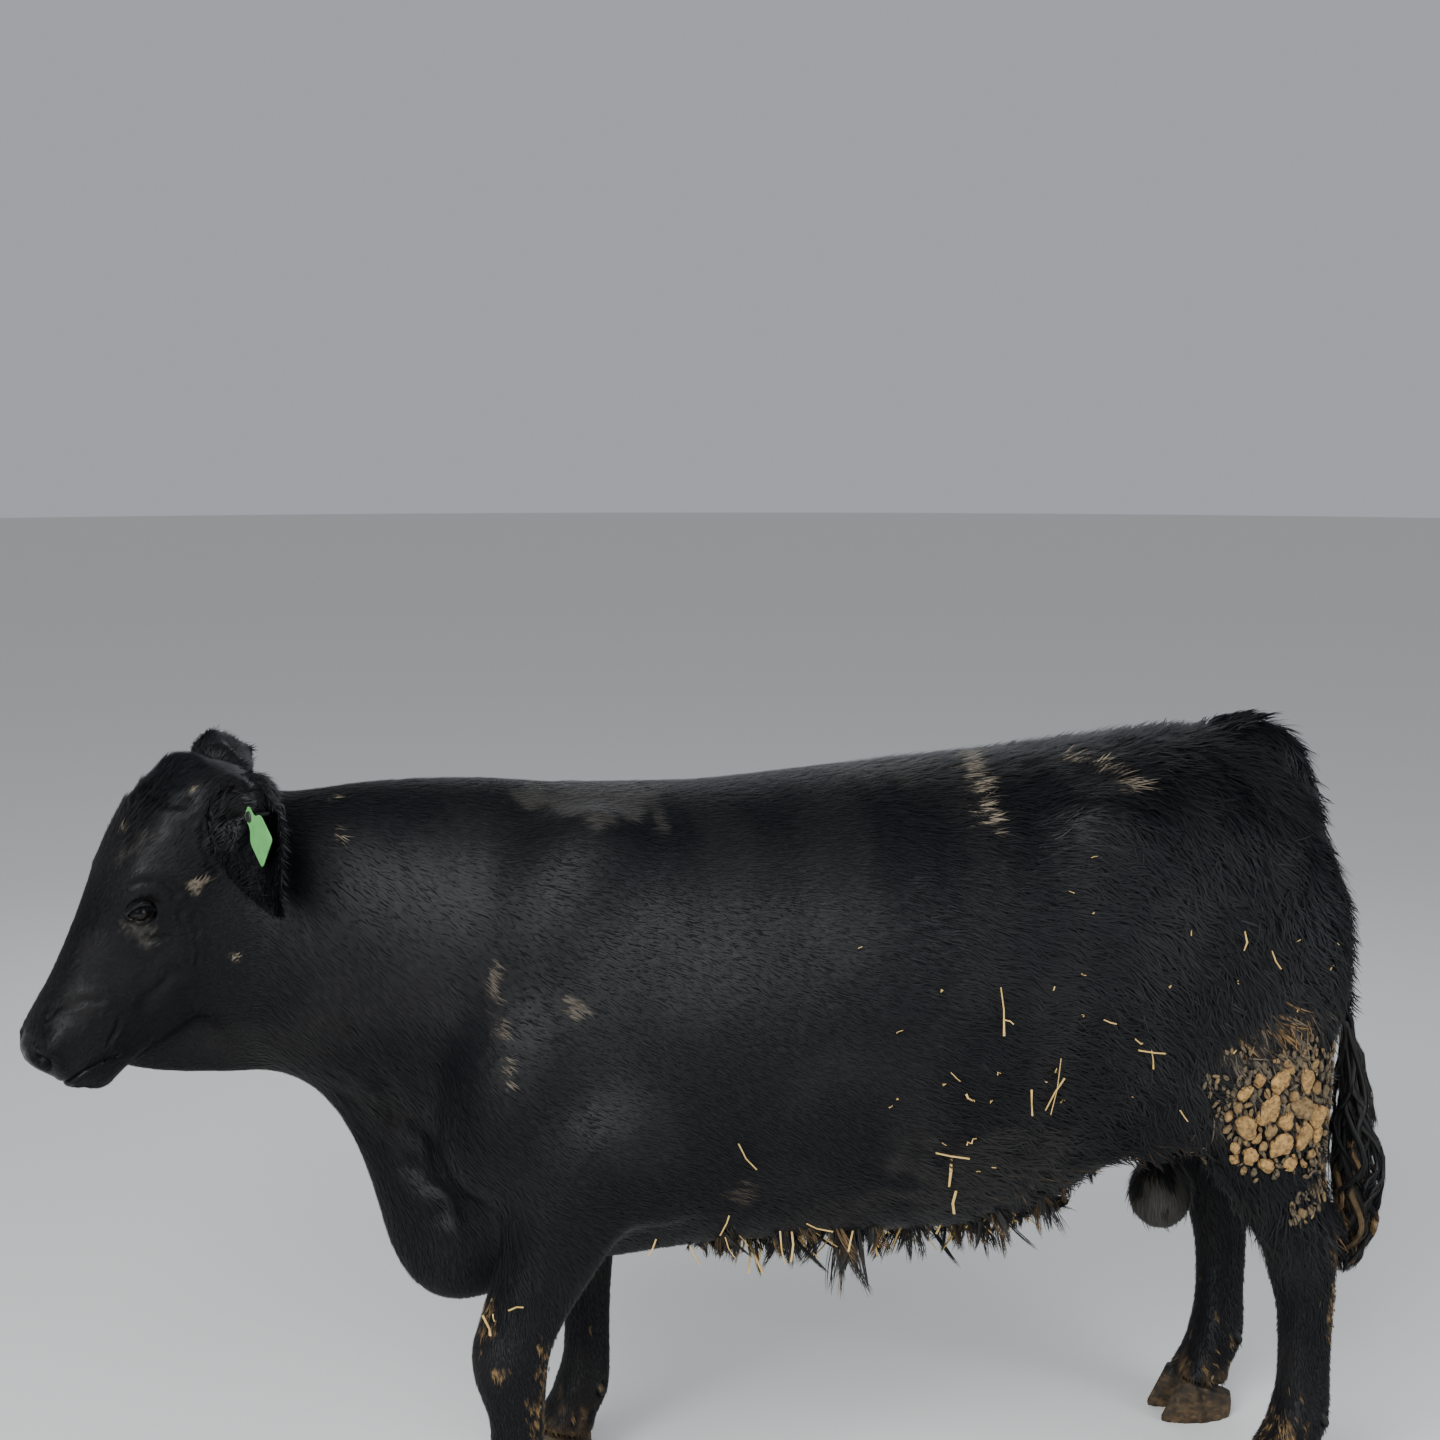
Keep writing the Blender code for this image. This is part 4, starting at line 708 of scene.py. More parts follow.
def lie_of(points, normals, draw):
    """Which way the coat lies: back from the muzzle, down and back on the body, down on the legs."""
    x, _, z = points.T
    head = head_share(points)[:, None]
    rear = step(x, 0.45, 0.75)[:, None]
    leg = (1 - step(z, 0.46, 0.66))[:, None]
    front = step(-x, 0.28, 0.55)[:, None]
    right = head_place(points)[:, 2:]
    away = np.sign(right + 1e-6) * step(np.abs(right), 0.0, 0.05)
    face = -0.9 * np.array(FACE_ALONG) + 0.45 * away * np.array(HEAD_RIGHT) - 0.25 * np.array(FACE_OUT)
    body = np.array([[1.0, 0, -0.42]]) * (1 - front) + np.array([[1.0, 0, -0.75]]) * front
    body = body * (1 - rear) + np.array([[0.45, 0, -1.0]]) * rear
    body = body * (1 - leg) + np.array([[0.22, 0, -1.0]]) * leg
    ways = tangent(normals, body * (1 - head) + face * head)
    side = np.cross(normals, ways)
    shaggy = rough_share(points)
    angle = (0.10 + 0.28 * shaggy) * waves(points, 0.09, 41)
    angle += (0.08 + 0.16 * shaggy) * waves(points, 0.03, 42)
    angle += (0.06 + 0.16 * shaggy) * draw.normal(size=len(points))
    return ways * np.cos(angle)[:, None] + side * np.sin(angle)[:, None]


def rough_share(points):
    """How shaggy the coat is: sleek in front, rough behind and along the flank."""
    x, _, z = points.T
    rough = step(x, -0.15, 0.40) * (0.35 + 0.65 * step(x, 0.25, 0.7))
    rough = np.maximum(rough, step(x, 0.15, 0.45) * (1 - step(z, 0.80, 1.0)))
    rough = rough * (1 - 0.55 * (1 - step(z, 0.25, 0.45)))
    return rough * (1 - 0.9 * blob(points, (0.732, 0, 0.50), (0.085, 0.085, 0.105)))


def chart(points, normals):
    """Each point's place on an unwrap of the skin by the six ways that it faces, the inner legs apart."""
    x, y, z = points.T * CHART_SCALE
    x = x - CAD_LOW[0] * CHART_SCALE
    y = y + CAD_HIGH[1] * CHART_SCALE
    facing = np.abs(normals).argmax(1)
    ahead = np.take_along_axis(normals, facing[:, None], 1)[:, 0] > 0
    side = np.where(head_share(points) > 0.5, head_place(points)[:, 2], points[:, 1]) > 0
    across = facing == 1
    places = [
        (across & ~ahead & ~side, x, z),
        (across & ahead & side, x, z + 0.325),
        ((facing == 2) & ahead, x, y + 0.652),
        (across & ~ahead & side, x, np.minimum(z, 0.16) + 0.818),
        (across & ahead & ~side, x * 0.8 + 0.545, np.minimum(z, 0.16) + 0.664),
        ((facing == 2) & ~ahead, y + 0.545, x),
        ((facing == 0) & ~ahead, y + 0.712, z),
        ((facing == 0) & ahead, y + 0.712, z + 0.33),
    ]
    uv = np.zeros((len(points), 2))
    for chosen, u, v in places:
        uv[chosen, 0] = u[chosen]
        uv[chosen, 1] = v[chosen]
    return np.clip(uv, 0.002, 0.998)


def scatter(surface, weight, count, draw):
    """Places spread over the skin by a weight for each of its points: places and normals."""
    points, normals, faces = surface
    corners = points[faces]
    area = np.linalg.norm(np.cross(corners[:, 1] - corners[:, 0], corners[:, 2] - corners[:, 0]), axis=1) / 2
    share = area * weight[faces].mean(1)
    picked = draw.choice(len(faces), count, p=share / share.sum())
    root, other = np.sqrt(draw.random(count)), draw.random(count)
    parts = np.stack([1 - root, root * (1 - other), root * other], 1)[:, :, None]
    place = (points[faces[picked]] * parts).sum(1)
    normal = (normals[faces[picked]] * parts).sum(1)
    return place, normal / np.linalg.norm(normal, axis=1)[:, None]


def strip_faces(count, segments):
    """Triangles of strips that end in a point, each with two points per step and one at its tip."""
    each = 2 * segments + 1
    rows = []
    for k in range(segments - 1):
        a = 2 * k
        rows += [(a, a + 1, a + 3), (a, a + 3, a + 2)]
    a = 2 * (segments - 1)
    rows.append((a, a + 1, a + 2))
    faces = np.array(rows)[None] + (np.arange(count) * each)[:, None, None]
    return faces.reshape(-1, 3)


def joined_mesh(name, points, faces, uv, colours, material):
    """One piece from arrays of points, triangles, places on the chart and marks."""
    mesh = bpy.data.meshes.new(name)
    mesh.vertices.add(len(points))
    mesh.vertices.foreach_set("co", points.astype(np.float32).ravel())
    mesh.loops.add(len(faces) * 3)
    mesh.loops.foreach_set("vertex_index", faces.astype(np.int32).ravel())
    mesh.polygons.add(len(faces))
    mesh.polygons.foreach_set("loop_start", np.arange(0, len(faces) * 3, 3, dtype=np.int32))
    smooth(mesh)
    mesh.update(calc_edges=True)
    if uv is not None:
        layer = mesh.uv_layers.new(name="OFBake")
        layer.data.foreach_set("uv", uv[faces.ravel()].astype(np.float32).ravel())
    paint(mesh, colours)
    piece = link(bpy.data.objects.new(name, mesh))
    dress(piece, material)
    return piece


def paint(mesh, colours):
    """Marks of each point, as mud, dust with painted sheen, pale and chance."""
    layer = mesh.color_attributes.new("marks", "FLOAT_COLOR", "POINT")
    layer.data.foreach_set("color", colours.astype(np.float32).ravel())


def smooth(mesh):
    """Shades a mesh smoothly."""
    mesh.polygons.foreach_set("use_smooth", np.ones(len(mesh.polygons), bool))
    mesh.update()


def dress(piece, material):
    """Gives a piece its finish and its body."""
    piece.data.materials.clear()
    piece.data.materials.append(material)
    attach(piece, "root")


def hairs(name, centre, side, width, marks, roots, root_normals):
    """Strips of hair along centre lines, from arrays: hairs by steps by three."""
    count, steps = centre.shape[:2]
    segments = steps - 1
    t = np.linspace(0, 1, steps)[:-1]
    half = 0.5 * width[:, None] * (1 - 0.55 * t**2)[None] * (0.75 + 0.25 * np.minimum(1, t * 4))[None]
    left = centre[:, :-1] - side * half[:, :, None]
    right = centre[:, :-1] + side * half[:, :, None]
    body = np.stack([left, right], 2).reshape(count, segments * 2, 3)
    points = np.concatenate([body, centre[:, -1:]], 1)
    places = chart(roots, root_normals)
    across = np.tile([-0.0013, 0.0013], segments)
    along = np.repeat(t, 2) * 0.003 - 0.0015
    uv = places[:, None] + np.concatenate([np.stack([across, along], 1), [[0, 0.0015]]])[None]
    each = 2 * segments + 1
    colours = np.repeat(marks, each, 0)
    faces = strip_faces(count, segments)
    return joined_mesh(name, points.reshape(-1, 3), faces, uv.reshape(-1, 2), colours, coat_look)


def coat(name, surface, weight, count, draw, look, segments):
    """Short hair over a region. Each tuft follows the lie of the coat, and rough coat draws into locks."""
    roots, normals = scatter(surface, weight, count, draw)
    sleek, rough, low_lift, high_lift, width = look
    shaggy = rough_share(roots)
    length = (sleek + (rough - sleek) * shaggy) * draw.uniform(0.7, 1.25, count)
    width = np.full(count, width) * (1 + 0.25 * shaggy)
    lift = math.radians(low_lift) + math.radians(high_lift - low_lift) * shaggy
    lift = np.clip(lift * draw.uniform(0.5, 1.5, count), 0.03, 1.2)
    lie = lie_of(roots, normals, draw)
    side = np.cross(normals, lie)
    t = np.linspace(0, 1, segments + 1)[None, :, None]
    reach = (length * np.cos(lift))[:, None, None]
    rise = (length * np.sin(lift))[:, None, None]
    sway = (length * draw.normal(0, 0.10, count))[:, None, None]
    centre = (roots - normals * 0.0004)[:, None] + lie[:, None] * reach * t
    centre += normals[:, None] * rise * (t - 0.42 * t * t) + side[:, None] * sway * t * t
    clump = clump_pull(roots, lie)
    pull = (0.10 + 0.50 * shaggy) * (0.55 + 0.45 * waves(roots, 0.07, 54))
    centre += clump[:, None] * (t**1.6) * np.clip(pull, 0, 0.8)[:, None, None]
    centre += raised(centre[:, -1], 0.58 * rise[:, 0, 0])[:, None] * t
    # Chance sets each tuft between the coat's black and brown: partly real tone, partly painted highlight and
    # shade between tufts.
    marks = np.concatenate([markings(roots), draw.random(count)[:, None]], 1)
    return hairs(name, centre, side[:, None], width, marks, roots, normals)


def raised(tips, height):
    """How far the tips move outwards where a hollow of the skin would bury them."""
    push = np.zeros(tips.shape)
    for k, tip in enumerate(tips):
        place, normal = tree.find_nearest(tip)[:2]
        lack = height[k] - (Vector(tip) - place).dot(normal)
        if lack > 0:
            push[k] = normal * lack
    return push


def clump_pull(roots, lie):
    """How far each tip moves to the middle of its lock, which is the hairs of one warped cell."""
    warp = drift(roots, 0.05, (51, 52, 53)) * 0.006
    cells = np.floor((roots + warp) / LOCK_CELL).astype(np.int64) + 512
    key = (cells[:, 0] * 1024 + cells[:, 1]) * 1024 + cells[:, 2]
    _, cell = np.unique(key, return_inverse=True)
    cell = cell.reshape(-1)
    size = np.bincount(cell)
    middle = np.stack([np.bincount(cell, roots[:, k]) / size for k in range(3)], 1)[cell]
    pull = middle - roots
    return pull - lie * (pull * lie).sum(1)[:, None]


def locks(name, paths, radius, hairs_each, width, draw, marks, root_normals=None):
    """Long hair in locks: hairs run around each path and meet towards its tip."""
    count, steps = paths.shape[:2]
    ahead = np.gradient(paths, axis=1)
    ahead /= np.linalg.norm(ahead, axis=2)[:, :, None]
    hint = np.array([0.31, 0.9, 0.12])
    first = np.cross(ahead, hint)
    first /= np.linalg.norm(first, axis=2)[:, :, None]
    second = np.cross(ahead, first)
    t = np.linspace(0, 1, steps)
    shape = np.sin(math.pi * (0.22 + 0.74 * t)) ** 0.8
    total = count * hairs_each
    lock = np.repeat(np.arange(count), hairs_each)
    turn = draw.uniform(0, 2 * math.pi, total)[:, None] + draw.normal(0, 0.7, total)[:, None] * t[None]
    rho = np.sqrt(draw.uniform(0.15, 1, total))[:, None]
    far = radius[lock][:, None] * shape[None] * rho
    out = np.cos(turn)[:, :, None] * first[lock] + np.sin(turn)[:, :, None] * second[lock]
    centre = paths[lock] + out * far[:, :, None]
    span = np.linalg.norm(paths[lock, -1] - paths[lock, 0], axis=1)
    shift = (draw.uniform(-0.10, 0.10, total) * span)[:, None]
    centre += ahead[lock] * (shift * t[None])[:, :, None]
    centre += 0.35 * radius[lock][:, None, None] * draw.normal(size=(total, 1, 3)) * (t**2)[None, :, None]
    side = np.cross(ahead[lock], out)[:, :-1]
    normals = out[:, 0] if root_normals is None else root_normals[lock]
    widths = width * draw.uniform(0.7, 1.3, total)
    colours = np.concatenate([marks[lock], draw.random(total)[:, None]], 1)
    return hairs(name, centre, side, widths, colours, paths[lock, 0], normals)


def node_group(name):
    """A material with its node tree and its shader."""
    material = bpy.data.materials.new(name)
    material.use_nodes = True
    return material, material.node_tree, material.node_tree.nodes["Principled BSDF"]


def attribute(web, name):
    """A value that the mesh carries at its points."""
    node = web.nodes.new("ShaderNodeAttribute")
    node.attribute_name = name
    return node.outputs


def marks_of(web):
    """The marks of the points as sockets: mud, dust with painted sheen, pale and chance."""
    marks = attribute(web, "marks")
    split = web.nodes.new("ShaderNodeSeparateColor")
    web.links.new(marks["Color"], split.inputs[0])
    return *split.outputs, marks["Alpha"]


def mixed(web, share, first, second):
    """A colour between two, by a share. Each is a colour or a socket."""
    mix = web.nodes.new("ShaderNodeMix")
    mix.data_type = "RGBA"
    for index, value in ((0, share), (6, first), (7, second)):
        if isinstance(value, tuple):
            mix.inputs[index].default_value = value
        else:
            web.links.new(value, mix.inputs[index])
    return mix.outputs[2]


def noise_of(web, scale, detail=3, rough=0.6):
    """Noise with so many features to the metre."""
    place = web.nodes.new("ShaderNodeTexCoord")
    noise = web.nodes.new("ShaderNodeTexNoise")
    noise.inputs["Scale"].default_value = scale
    noise.inputs["Detail"].default_value = detail
    noise.inputs["Roughness"].default_value = rough
    web.links.new(place.outputs["Object"], noise.inputs["Vector"])
    return noise.outputs["Fac"]


def mapped(web, value, low, high, out_low=0.0, out_high=1.0):
    """A value moved from one range to another."""
    node = web.nodes.new("ShaderNodeMapRange")
    for index, number in enumerate((low, high, out_low, out_high)):
        node.inputs[index + 1].default_value = number
    web.links.new(value, node.inputs[0])
    return node.outputs[0]


def relief(web, height, strength, distance):
    """A bump over the surface. Its strength is a number or a socket."""
    bump = web.nodes.new("ShaderNodeBump")
    bump.inputs["Distance"].default_value = distance
    if isinstance(strength, float):
        bump.inputs["Strength"].default_value = strength
    else:
        web.links.new(strength, bump.inputs["Strength"])
    web.links.new(height, bump.inputs["Height"])
    return bump


def coat_material(name, black, brown, roughness):
    """Black hair with its tufts a little lighter or browner by chance, under the mud, the dust with painted
    sheen, and the pale marks. On the coat the lighter tufts are partly painted highlight.
    """
    material, web, shader = node_group(name)
    mud, dust_and_sheen, pale, chance = marks_of(web)
    grain = mapped(web, noise_of(web, 45), 0.35, 0.65)
    colour = mixed(web, chance, black, brown)
    # The dust grey, which is also painted sheen on the face.
    colour = mixed(web, dust_and_sheen, colour, DUST_AND_SHEEN_GREY)
    colour = mixed(web, pale, colour, WORN_PALE)
    colour = mixed(web, mud, colour, mixed(web, grain, SOIL_DAMP, SOIL_DRY))
    web.links.new(colour, shader.inputs["Base Color"])
    web.links.new(mapped(web, mud, 0.0, 0.6, roughness, 0.9), shader.inputs["Roughness"])
    shader.inputs["Specular IOR Level"].default_value = 0.17
    return material


def skin_material():
    """The hide under the coat: the same marks, and a wet, pebbled muzzle."""
    material = coat_material("hide", HIDE_BLACK, HIDE_BROWN, 0.5)
    web = material.node_tree
    shader = web.nodes["Principled BSDF"]
    bare = attribute(web, "bare")["Fac"]
    web.links.new(mapped(web, bare, 0.0, 1.0, 0.85, 0.26), shader.inputs["Roughness"])
    place = web.nodes.new("ShaderNodeTexCoord")
    cells = web.nodes.new("ShaderNodeTexVoronoi")
    cells.feature = "SMOOTH_F1"
    cells.inputs["Scale"].default_value = 260
    cells.inputs["Smoothness"].default_value = 0.4
    web.links.new(place.outputs["Object"], cells.inputs["Vector"])
    strength = mapped(web, bare, 0.0, 1.0, 0.0, 0.35)
    pebbles = relief(web, cells.outputs["Distance"], strength, 0.0012)
    pebbles.invert = True
    fine = relief(web, noise_of(web, 420, 2), 0.25, 0.0010)
    web.links.new(pebbles.outputs[0], fine.inputs["Normal"])
    web.links.new(fine.outputs[0], shader.inputs["Normal"])
    return material


def eye_material():
    """A wet brown eye: brown rays, then the white, then the pupil."""
    material, web, shader = node_group("wet eye")
    pupil, white, rays, _ = marks_of(web)
    colour = mixed(web, rays, EYE_BROWN, EYE_RAYS)
    colour = mixed(web, white, colour, EYE_WHITE)
    colour = mixed(web, pupil, colour, EYE_PUPIL)
    web.links.new(colour, shader.inputs["Base Color"])
    shader.inputs["Roughness"].default_value = 0.07
    shader.inputs["Specular IOR Level"].default_value = 0.22
    return material


def mud_material():
    """Dried mud: tan lumps, grey crumbs, and their cracks painted darker than both as shade."""
    material, web, shader = node_group("dried mud")
    # Noise lays the painted shade of cracks into the tan and the grey.
    grain = mapped(web, noise_of(web, 130, 6, 0.7), 0.36, 0.62)
    dry = mixed(web, grain, CLOD_CRACK_SHADE, CLOD_TAN)
    damp = mixed(web, grain, CRUMB_CRACK_SHADE, CRUMB_GREY)
    tone = mapped(web, attribute(web, "marks")["Fac"], 0.15, 0.75)
    web.links.new(mixed(web, tone, damp, dry), shader.inputs["Base Color"])
    shader.inputs["Roughness"].default_value = 0.92
    web.links.new(relief(web, noise_of(web, 170, 6, 0.7), 1.0, 0.0035).outputs[0], shader.inputs["Normal"])
    return material


def plain_material(name, colour, roughness, depth=0.0, scale=100, second=None):
    """One colour, or two mixed by noise, with a fine relief if it has a depth."""
    material, web, shader = node_group(name)
    shader.inputs["Base Color"].default_value = colour
    shader.inputs["Roughness"].default_value = roughness
    grain = noise_of(web, scale, 4)
    if second:
        blend = mixed(web, mapped(web, grain, 0.35, 0.68), colour, second)
        web.links.new(blend, shader.inputs["Base Color"])
    if depth:
        web.links.new(relief(web, grain, 0.5, depth).outputs[0], shader.inputs["Normal"])
    return material


def frame_of(origin, x_axis, y_hint):
    """A placing matrix with its X along x_axis and its Y as near as may be to y_hint."""
    x = Vector(x_axis).normalized()
    z = x.cross(Vector(y_hint)).normalized()
    y = z.cross(x)
    return Matrix.Translation(origin) @ Matrix((x, y, z)).transposed().to_4x4()


def ear_row(t):
    """Half width and curl of the ear at a share t of its length."""
    width = EAR_SIZE[1] / 2 * (0.42 + 0.58 * math.sin(math.pi * min(1, t / 0.9) ** 0.8) ** 0.9)
    width *= math.sqrt(max(0, 1 - t**5)) if t > 0.5 else 1
    curl = math.radians(125 - 80 * min(1, t / 0.40))
    return max(width, 0.004), curl


def ear_surface(which):
    """A cupped ear, and its axes as rows: along it, to its upper edge, and out of its cup."""
    side = 1 if which == "left" else -1
    place = frame_of(*EARS[which])
    bm = bmesh.new()
    loops = []
    for i in range(EAR_RINGS):
        t = i / (EAR_RINGS - 1)
        half, curl = ear_row(t)
        radius = half / math.sin(min(curl, math.pi / 2))
        sag = -EAR_SAG * t * t
        ring = []
        for wall, order in ((0.5, 1), (-0.5, -1)):
            for k in range(EAR_ARCS)[::order]:
                across = 2 * k / (EAR_ARCS - 1) - 1
                turn = curl * across
                thick = EAR_WALL * (1 - 0.55 * abs(across) ** 3) * (1 - 0.45 * t**4)
                reach = radius * (1 + 0.02 * math.sin(9 * turn + 5 * t)) + wall * thick
                depth = radius * (0.25 + 0.65 * math.cos(curl)) - math.cos(turn) * reach
                point = Vector((t * EAR_SIZE[0], reach * math.sin(turn), side * (depth + sag)))
                ring.append(bm.verts.new(place @ point))
        loops.append([bm.edges.new((a, b)) for a, b in zip(ring, ring[1:] + ring[:1])])
    for first, second in zip(loops, loops[1:]):
        bmesh.ops.bridge_loops(bm, edges=first + second)
    for end in (loops[0], loops[-1]):
        bmesh.ops.contextual_create(bm, geom=end)
    bmesh.ops.recalc_face_normals(bm, faces=bm.faces)
    return bm, np.array(place.to_3x3()).T * np.array([1, 1, side])[:, None]


def join_ears(skin):
    """Adds both ears to the skin, their roots sunk in it."""
    whole = bmesh.new()
    whole.from_mesh(skin.data)
    for which in EARS:
        bm, _ = ear_surface(which)
        scratch = bpy.data.meshes.new("ear")
        bm.to_mesh(scratch)
        bm.free()
        whole.from_mesh(scratch)
        bpy.data.meshes.remove(scratch)
    bmesh.ops.triangulate(whole, faces=whole.faces)
    whole.to_mesh(skin.data)
    whole.free()


def bare_share(points):
    """The bare skin: the muzzle between and around the nostrils, and the edges of the lids."""
    along, out, right = head_place(points).T
    muzzle = step(along + 0.35 * out, 0.416, 0.428) * step(out, -0.088, -0.076)
    muzzle *= 1 - step(np.abs(right) - 0.3 * (along - 0.45), 0.058, 0.066)
    lips = (1 - step(line_distance(points, mouth_points()), 0.004, 0.009)) * step(along, 0.36, 0.40)
    bare = np.maximum(muzzle, 0.8 * lips)
    for side in (-1, 1):
        middle = np.array([NOSTRIL[0][0], NOSTRIL[0][1], side * NOSTRIL[0][2]])
        inward = np.array([-0.75, -0.15, -0.55 * side])
        away = line_distance(head_place(points), [middle - 0.006 * inward, middle + 0.032 * inward])
        bare *= step(away, 0.017, 0.024)
    for centre, axes in eye_frames().values():
        local = (points - centre) @ axes.T
        edge = almond(local[:, 1], local[:, 2])
        close = np.linalg.norm(points - centre, axis=1) < EYE_FINEST
        bare = np.maximum(bare, np.where(close, 1 - step(edge, 1.12, 1.32), 0))
    return bare


def make_eyes(material):
    """The eyeballs: a bulging cornea, and marks for pupil, white and the rays of the iris."""
    for word, (centre, axes) in eye_frames().items():
        bm = bmesh.new()
        bmesh.ops.create_uvsphere(bm, u_segments=64, v_segments=40, radius=EYE_RADIUS - EYE_ROOM)
        local = np.array([vert.co for vert in bm.verts])
        front = local[:, 2] / np.linalg.norm(local, axis=1)
        for vert, share in zip(bm.verts, front):
            vert.co *= 1 + CORNEA * max(0, (share - 0.78) / 0.22) ** 1.5
        turn = Matrix(np.array([axes[1], axes[2], axes[0]]).T.tolist())
        bm.transform(Matrix.Translation(Vector(centre)) @ turn.to_4x4())
        if turn.determinant() < 0:
            bmesh.ops.reverse_faces(bm, faces=bm.faces)
        bmesh.ops.triangulate(bm, faces=bm.faces)
        piece = object_of("eyeball_" + word, bm)
        y, z = local[:, 0], local[:, 1]
        flat = np.sqrt(y * y + z * z)
        pupil = 1 - step(np.sqrt((y / PUPIL[0]) ** 2 + (z / PUPIL[1]) ** 2), 0.85, 1.15)
        white = step(flat, 0.0128, 0.0142)
        rays = np.clip(0.5 + 0.5 * np.sin(np.arctan2(z, y) * 46) * step(flat, 0.004, 0.012), 0, 1)
        paint(piece.data, np.stack([pupil * (local[:, 2] > 0), white, rays, np.ones(len(y))], 1))
        smooth(piece.data)
        dress(piece, material)
        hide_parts("eye_" + word)


def in_box(co, low, high):
    """Which points lie in a claw's box."""
    return np.all((co > np.array(low) - CLAW_MARGIN) & (co < np.array(high) + CLAW_MARGIN), axis=1)


def shape_claw(co, low, high):
    """Narrows a claw's toe and leans its front wall back."""
    inside = in_box(co, low, high)
    x, y, z = co[inside].T
    back = (x - low[0]) / (high[0] - low[0])
    middle = (low[1] + high[1]) / 2
    narrow = 0.58 + 0.42 * step(back, -0.1, 0.5)
    up = z / high[2]
    lean = 0.016 * up * (1 - step(back, 0.1, 0.8))
    drop = 1 - 0.12 * step(back, 0.4, 1.0)
    co[inside] = np.stack([x + lean, middle + (y - middle) * narrow, z * drop], 1)


def make_claws(material):
    """The claws and dewclaws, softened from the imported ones, with growth rings."""
    names = [name for name in NODES if "claw" in name]
    bm = bmesh.new()
    for name in names:
        bm.from_mesh(NODES[name].data)
    claws = object_of("claws", bm)
    fused(claws, CLAW_VOXEL)
    mesh = claws.data
    co, ends = points_of(mesh), edges_of(mesh)
    for name in names:
        low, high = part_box(name)
        if "dew" in name:
            inside = in_box(co, low, high)
            co[inside, 0] = low[0] + DEWCLAW_SHARE * (co[inside, 0] - low[0])
        else:
            shape_claw(co, low, high)
    sole = 1 - step(co[:, 2], 0.001, 0.004)
    co = relaxed(co, ends, 1 - 0.9 * sole, 6)
    set_points(mesh, co)
    rings = np.sin((co[:, 2] + 0.22 * co[:, 0] + 0.002 * waves(co, 0.05, 61)) * 2 * math.pi / CLAW_RING)
    wall = (1 - sole) * step(0.07 - co[:, 2], 0.0, 0.01)
    co += normals_of(mesh) * (CLAW_RING_DEPTH * rings * wall)[:, None]
    co[:, 2] = np.maximum(co[:, 2], 0)
    set_points(mesh, co)
    thinned(claws, CLAW_TRIANGLES)
    co = points_of(claws.data)
    smooth(claws.data)
    paint(claws.data, np.concatenate([0.55 * markings(co), np.full((len(co), 1), 0.5)], 1))
    dress(claws, material)
    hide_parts(*names)


def finish_tag(name, bm, place, material):
    """Bevels a part of the tag, puts it in its place and dresses it."""
    bmesh.ops.recalc_face_normals(bm, faces=bm.faces)
    sharp = [edge for edge in bm.edges if len(edge.link_faces) == 2 and edge.calc_face_angle(0) > 1.0]
    bmesh.ops.bevel(bm, geom=sharp, offset=0.0006, segments=2, profile=0.5, affect="EDGES", material=-1)
    bm.transform(place)
    bmesh.ops.triangulate(bm, faces=bm.faces)
    dress(object_of(name, bm), material)


def make_tag(material):
    """The ear tag: a bare plate with rounded corners, its pin through the ear, and the button behind."""
    width, length, thick = TAG_SIZE
    place = frame_of(frame_of(*EARS["left"]) @ Vector((*TAG_PLACE, 0)), TAG_DOWN.cross(TAG_FACE), TAG_DOWN)
    bm = bmesh.new()
    neck, shoulder = width * 0.20, length * 0.28
    half = ((neck, -TAG_TOP), (neck, TAG_TOP * 0.9), (width / 2, shoulder), (width / 2, length - TAG_TOP))
    outline = [*half, *((-x, y) for x, y in reversed(half))]
    face = bm.faces.new([bm.verts.new((x, y, TAG_LOW)) for x, y in outline])
    corners = list(face.verts)
    bmesh.ops.bevel(
        bm, geom=corners, offset=TAG_CORNER, segments=6, profile=0.5, affect="VERTICES", material=-1
    )
    back = bmesh.ops.extrude_face_region(bm, geom=list(bm.faces))["geom"]
    moved = [item for item in back if isinstance(item, bmesh.types.BMVert)]
    bmesh.ops.translate(bm, verts=moved, vec=(0, 0, thick))
    finish_tag("tag_plate", bm, place, material)
    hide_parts("ear_tag")
    bm = bmesh.new()
    for z, near, far, deep in (
        (TAG_LOW + thick + 0.001, 0.0085, 0.0075, 0.003),
        (-0.036, 0.0032, 0.0032, 0.040),
        (-0.055, 0.011, 0.013, 0.003),
    ):
        at = Matrix.Translation((0, 0, z))
        bmesh.ops.create_cone(
            bm, cap_ends=True, segments=32, radius1=near, radius2=far, depth=deep, matrix=at
        )
    finish_tag("tag_pin", bm, place, plain_material("dark plastic", PIN_BLACK, 0.5))


def region_weights(points, bare):
    """How dense each region's tufts grow at each point of the skin."""
    x, _, z = points.T
    head = head_share(points)
    face = head * step(head_place(points)[:, 0], 0.05, 0.13)
    leg = (1 - step(z, 0.42, 0.56)) * step(z, 0.055, 0.075)
    trunk = (1 - step(head, 0.1, 0.9)) * step(z, 0.42, 0.56)
    hair = 1 - bare
    return {
        "face": face * hair,
        "poll": head * (1 - step(head_place(points)[:, 0], 0.09, 0.15)) * hair,
        "neck": trunk * (1 - step(x, -0.42, -0.34)),
        "ribs": trunk * step(x, -0.42, -0.34) * (1 - step(x, 0.16, 0.26)),
        "rear": trunk * step(x, 0.16, 0.26),
        "legs": leg,
    }


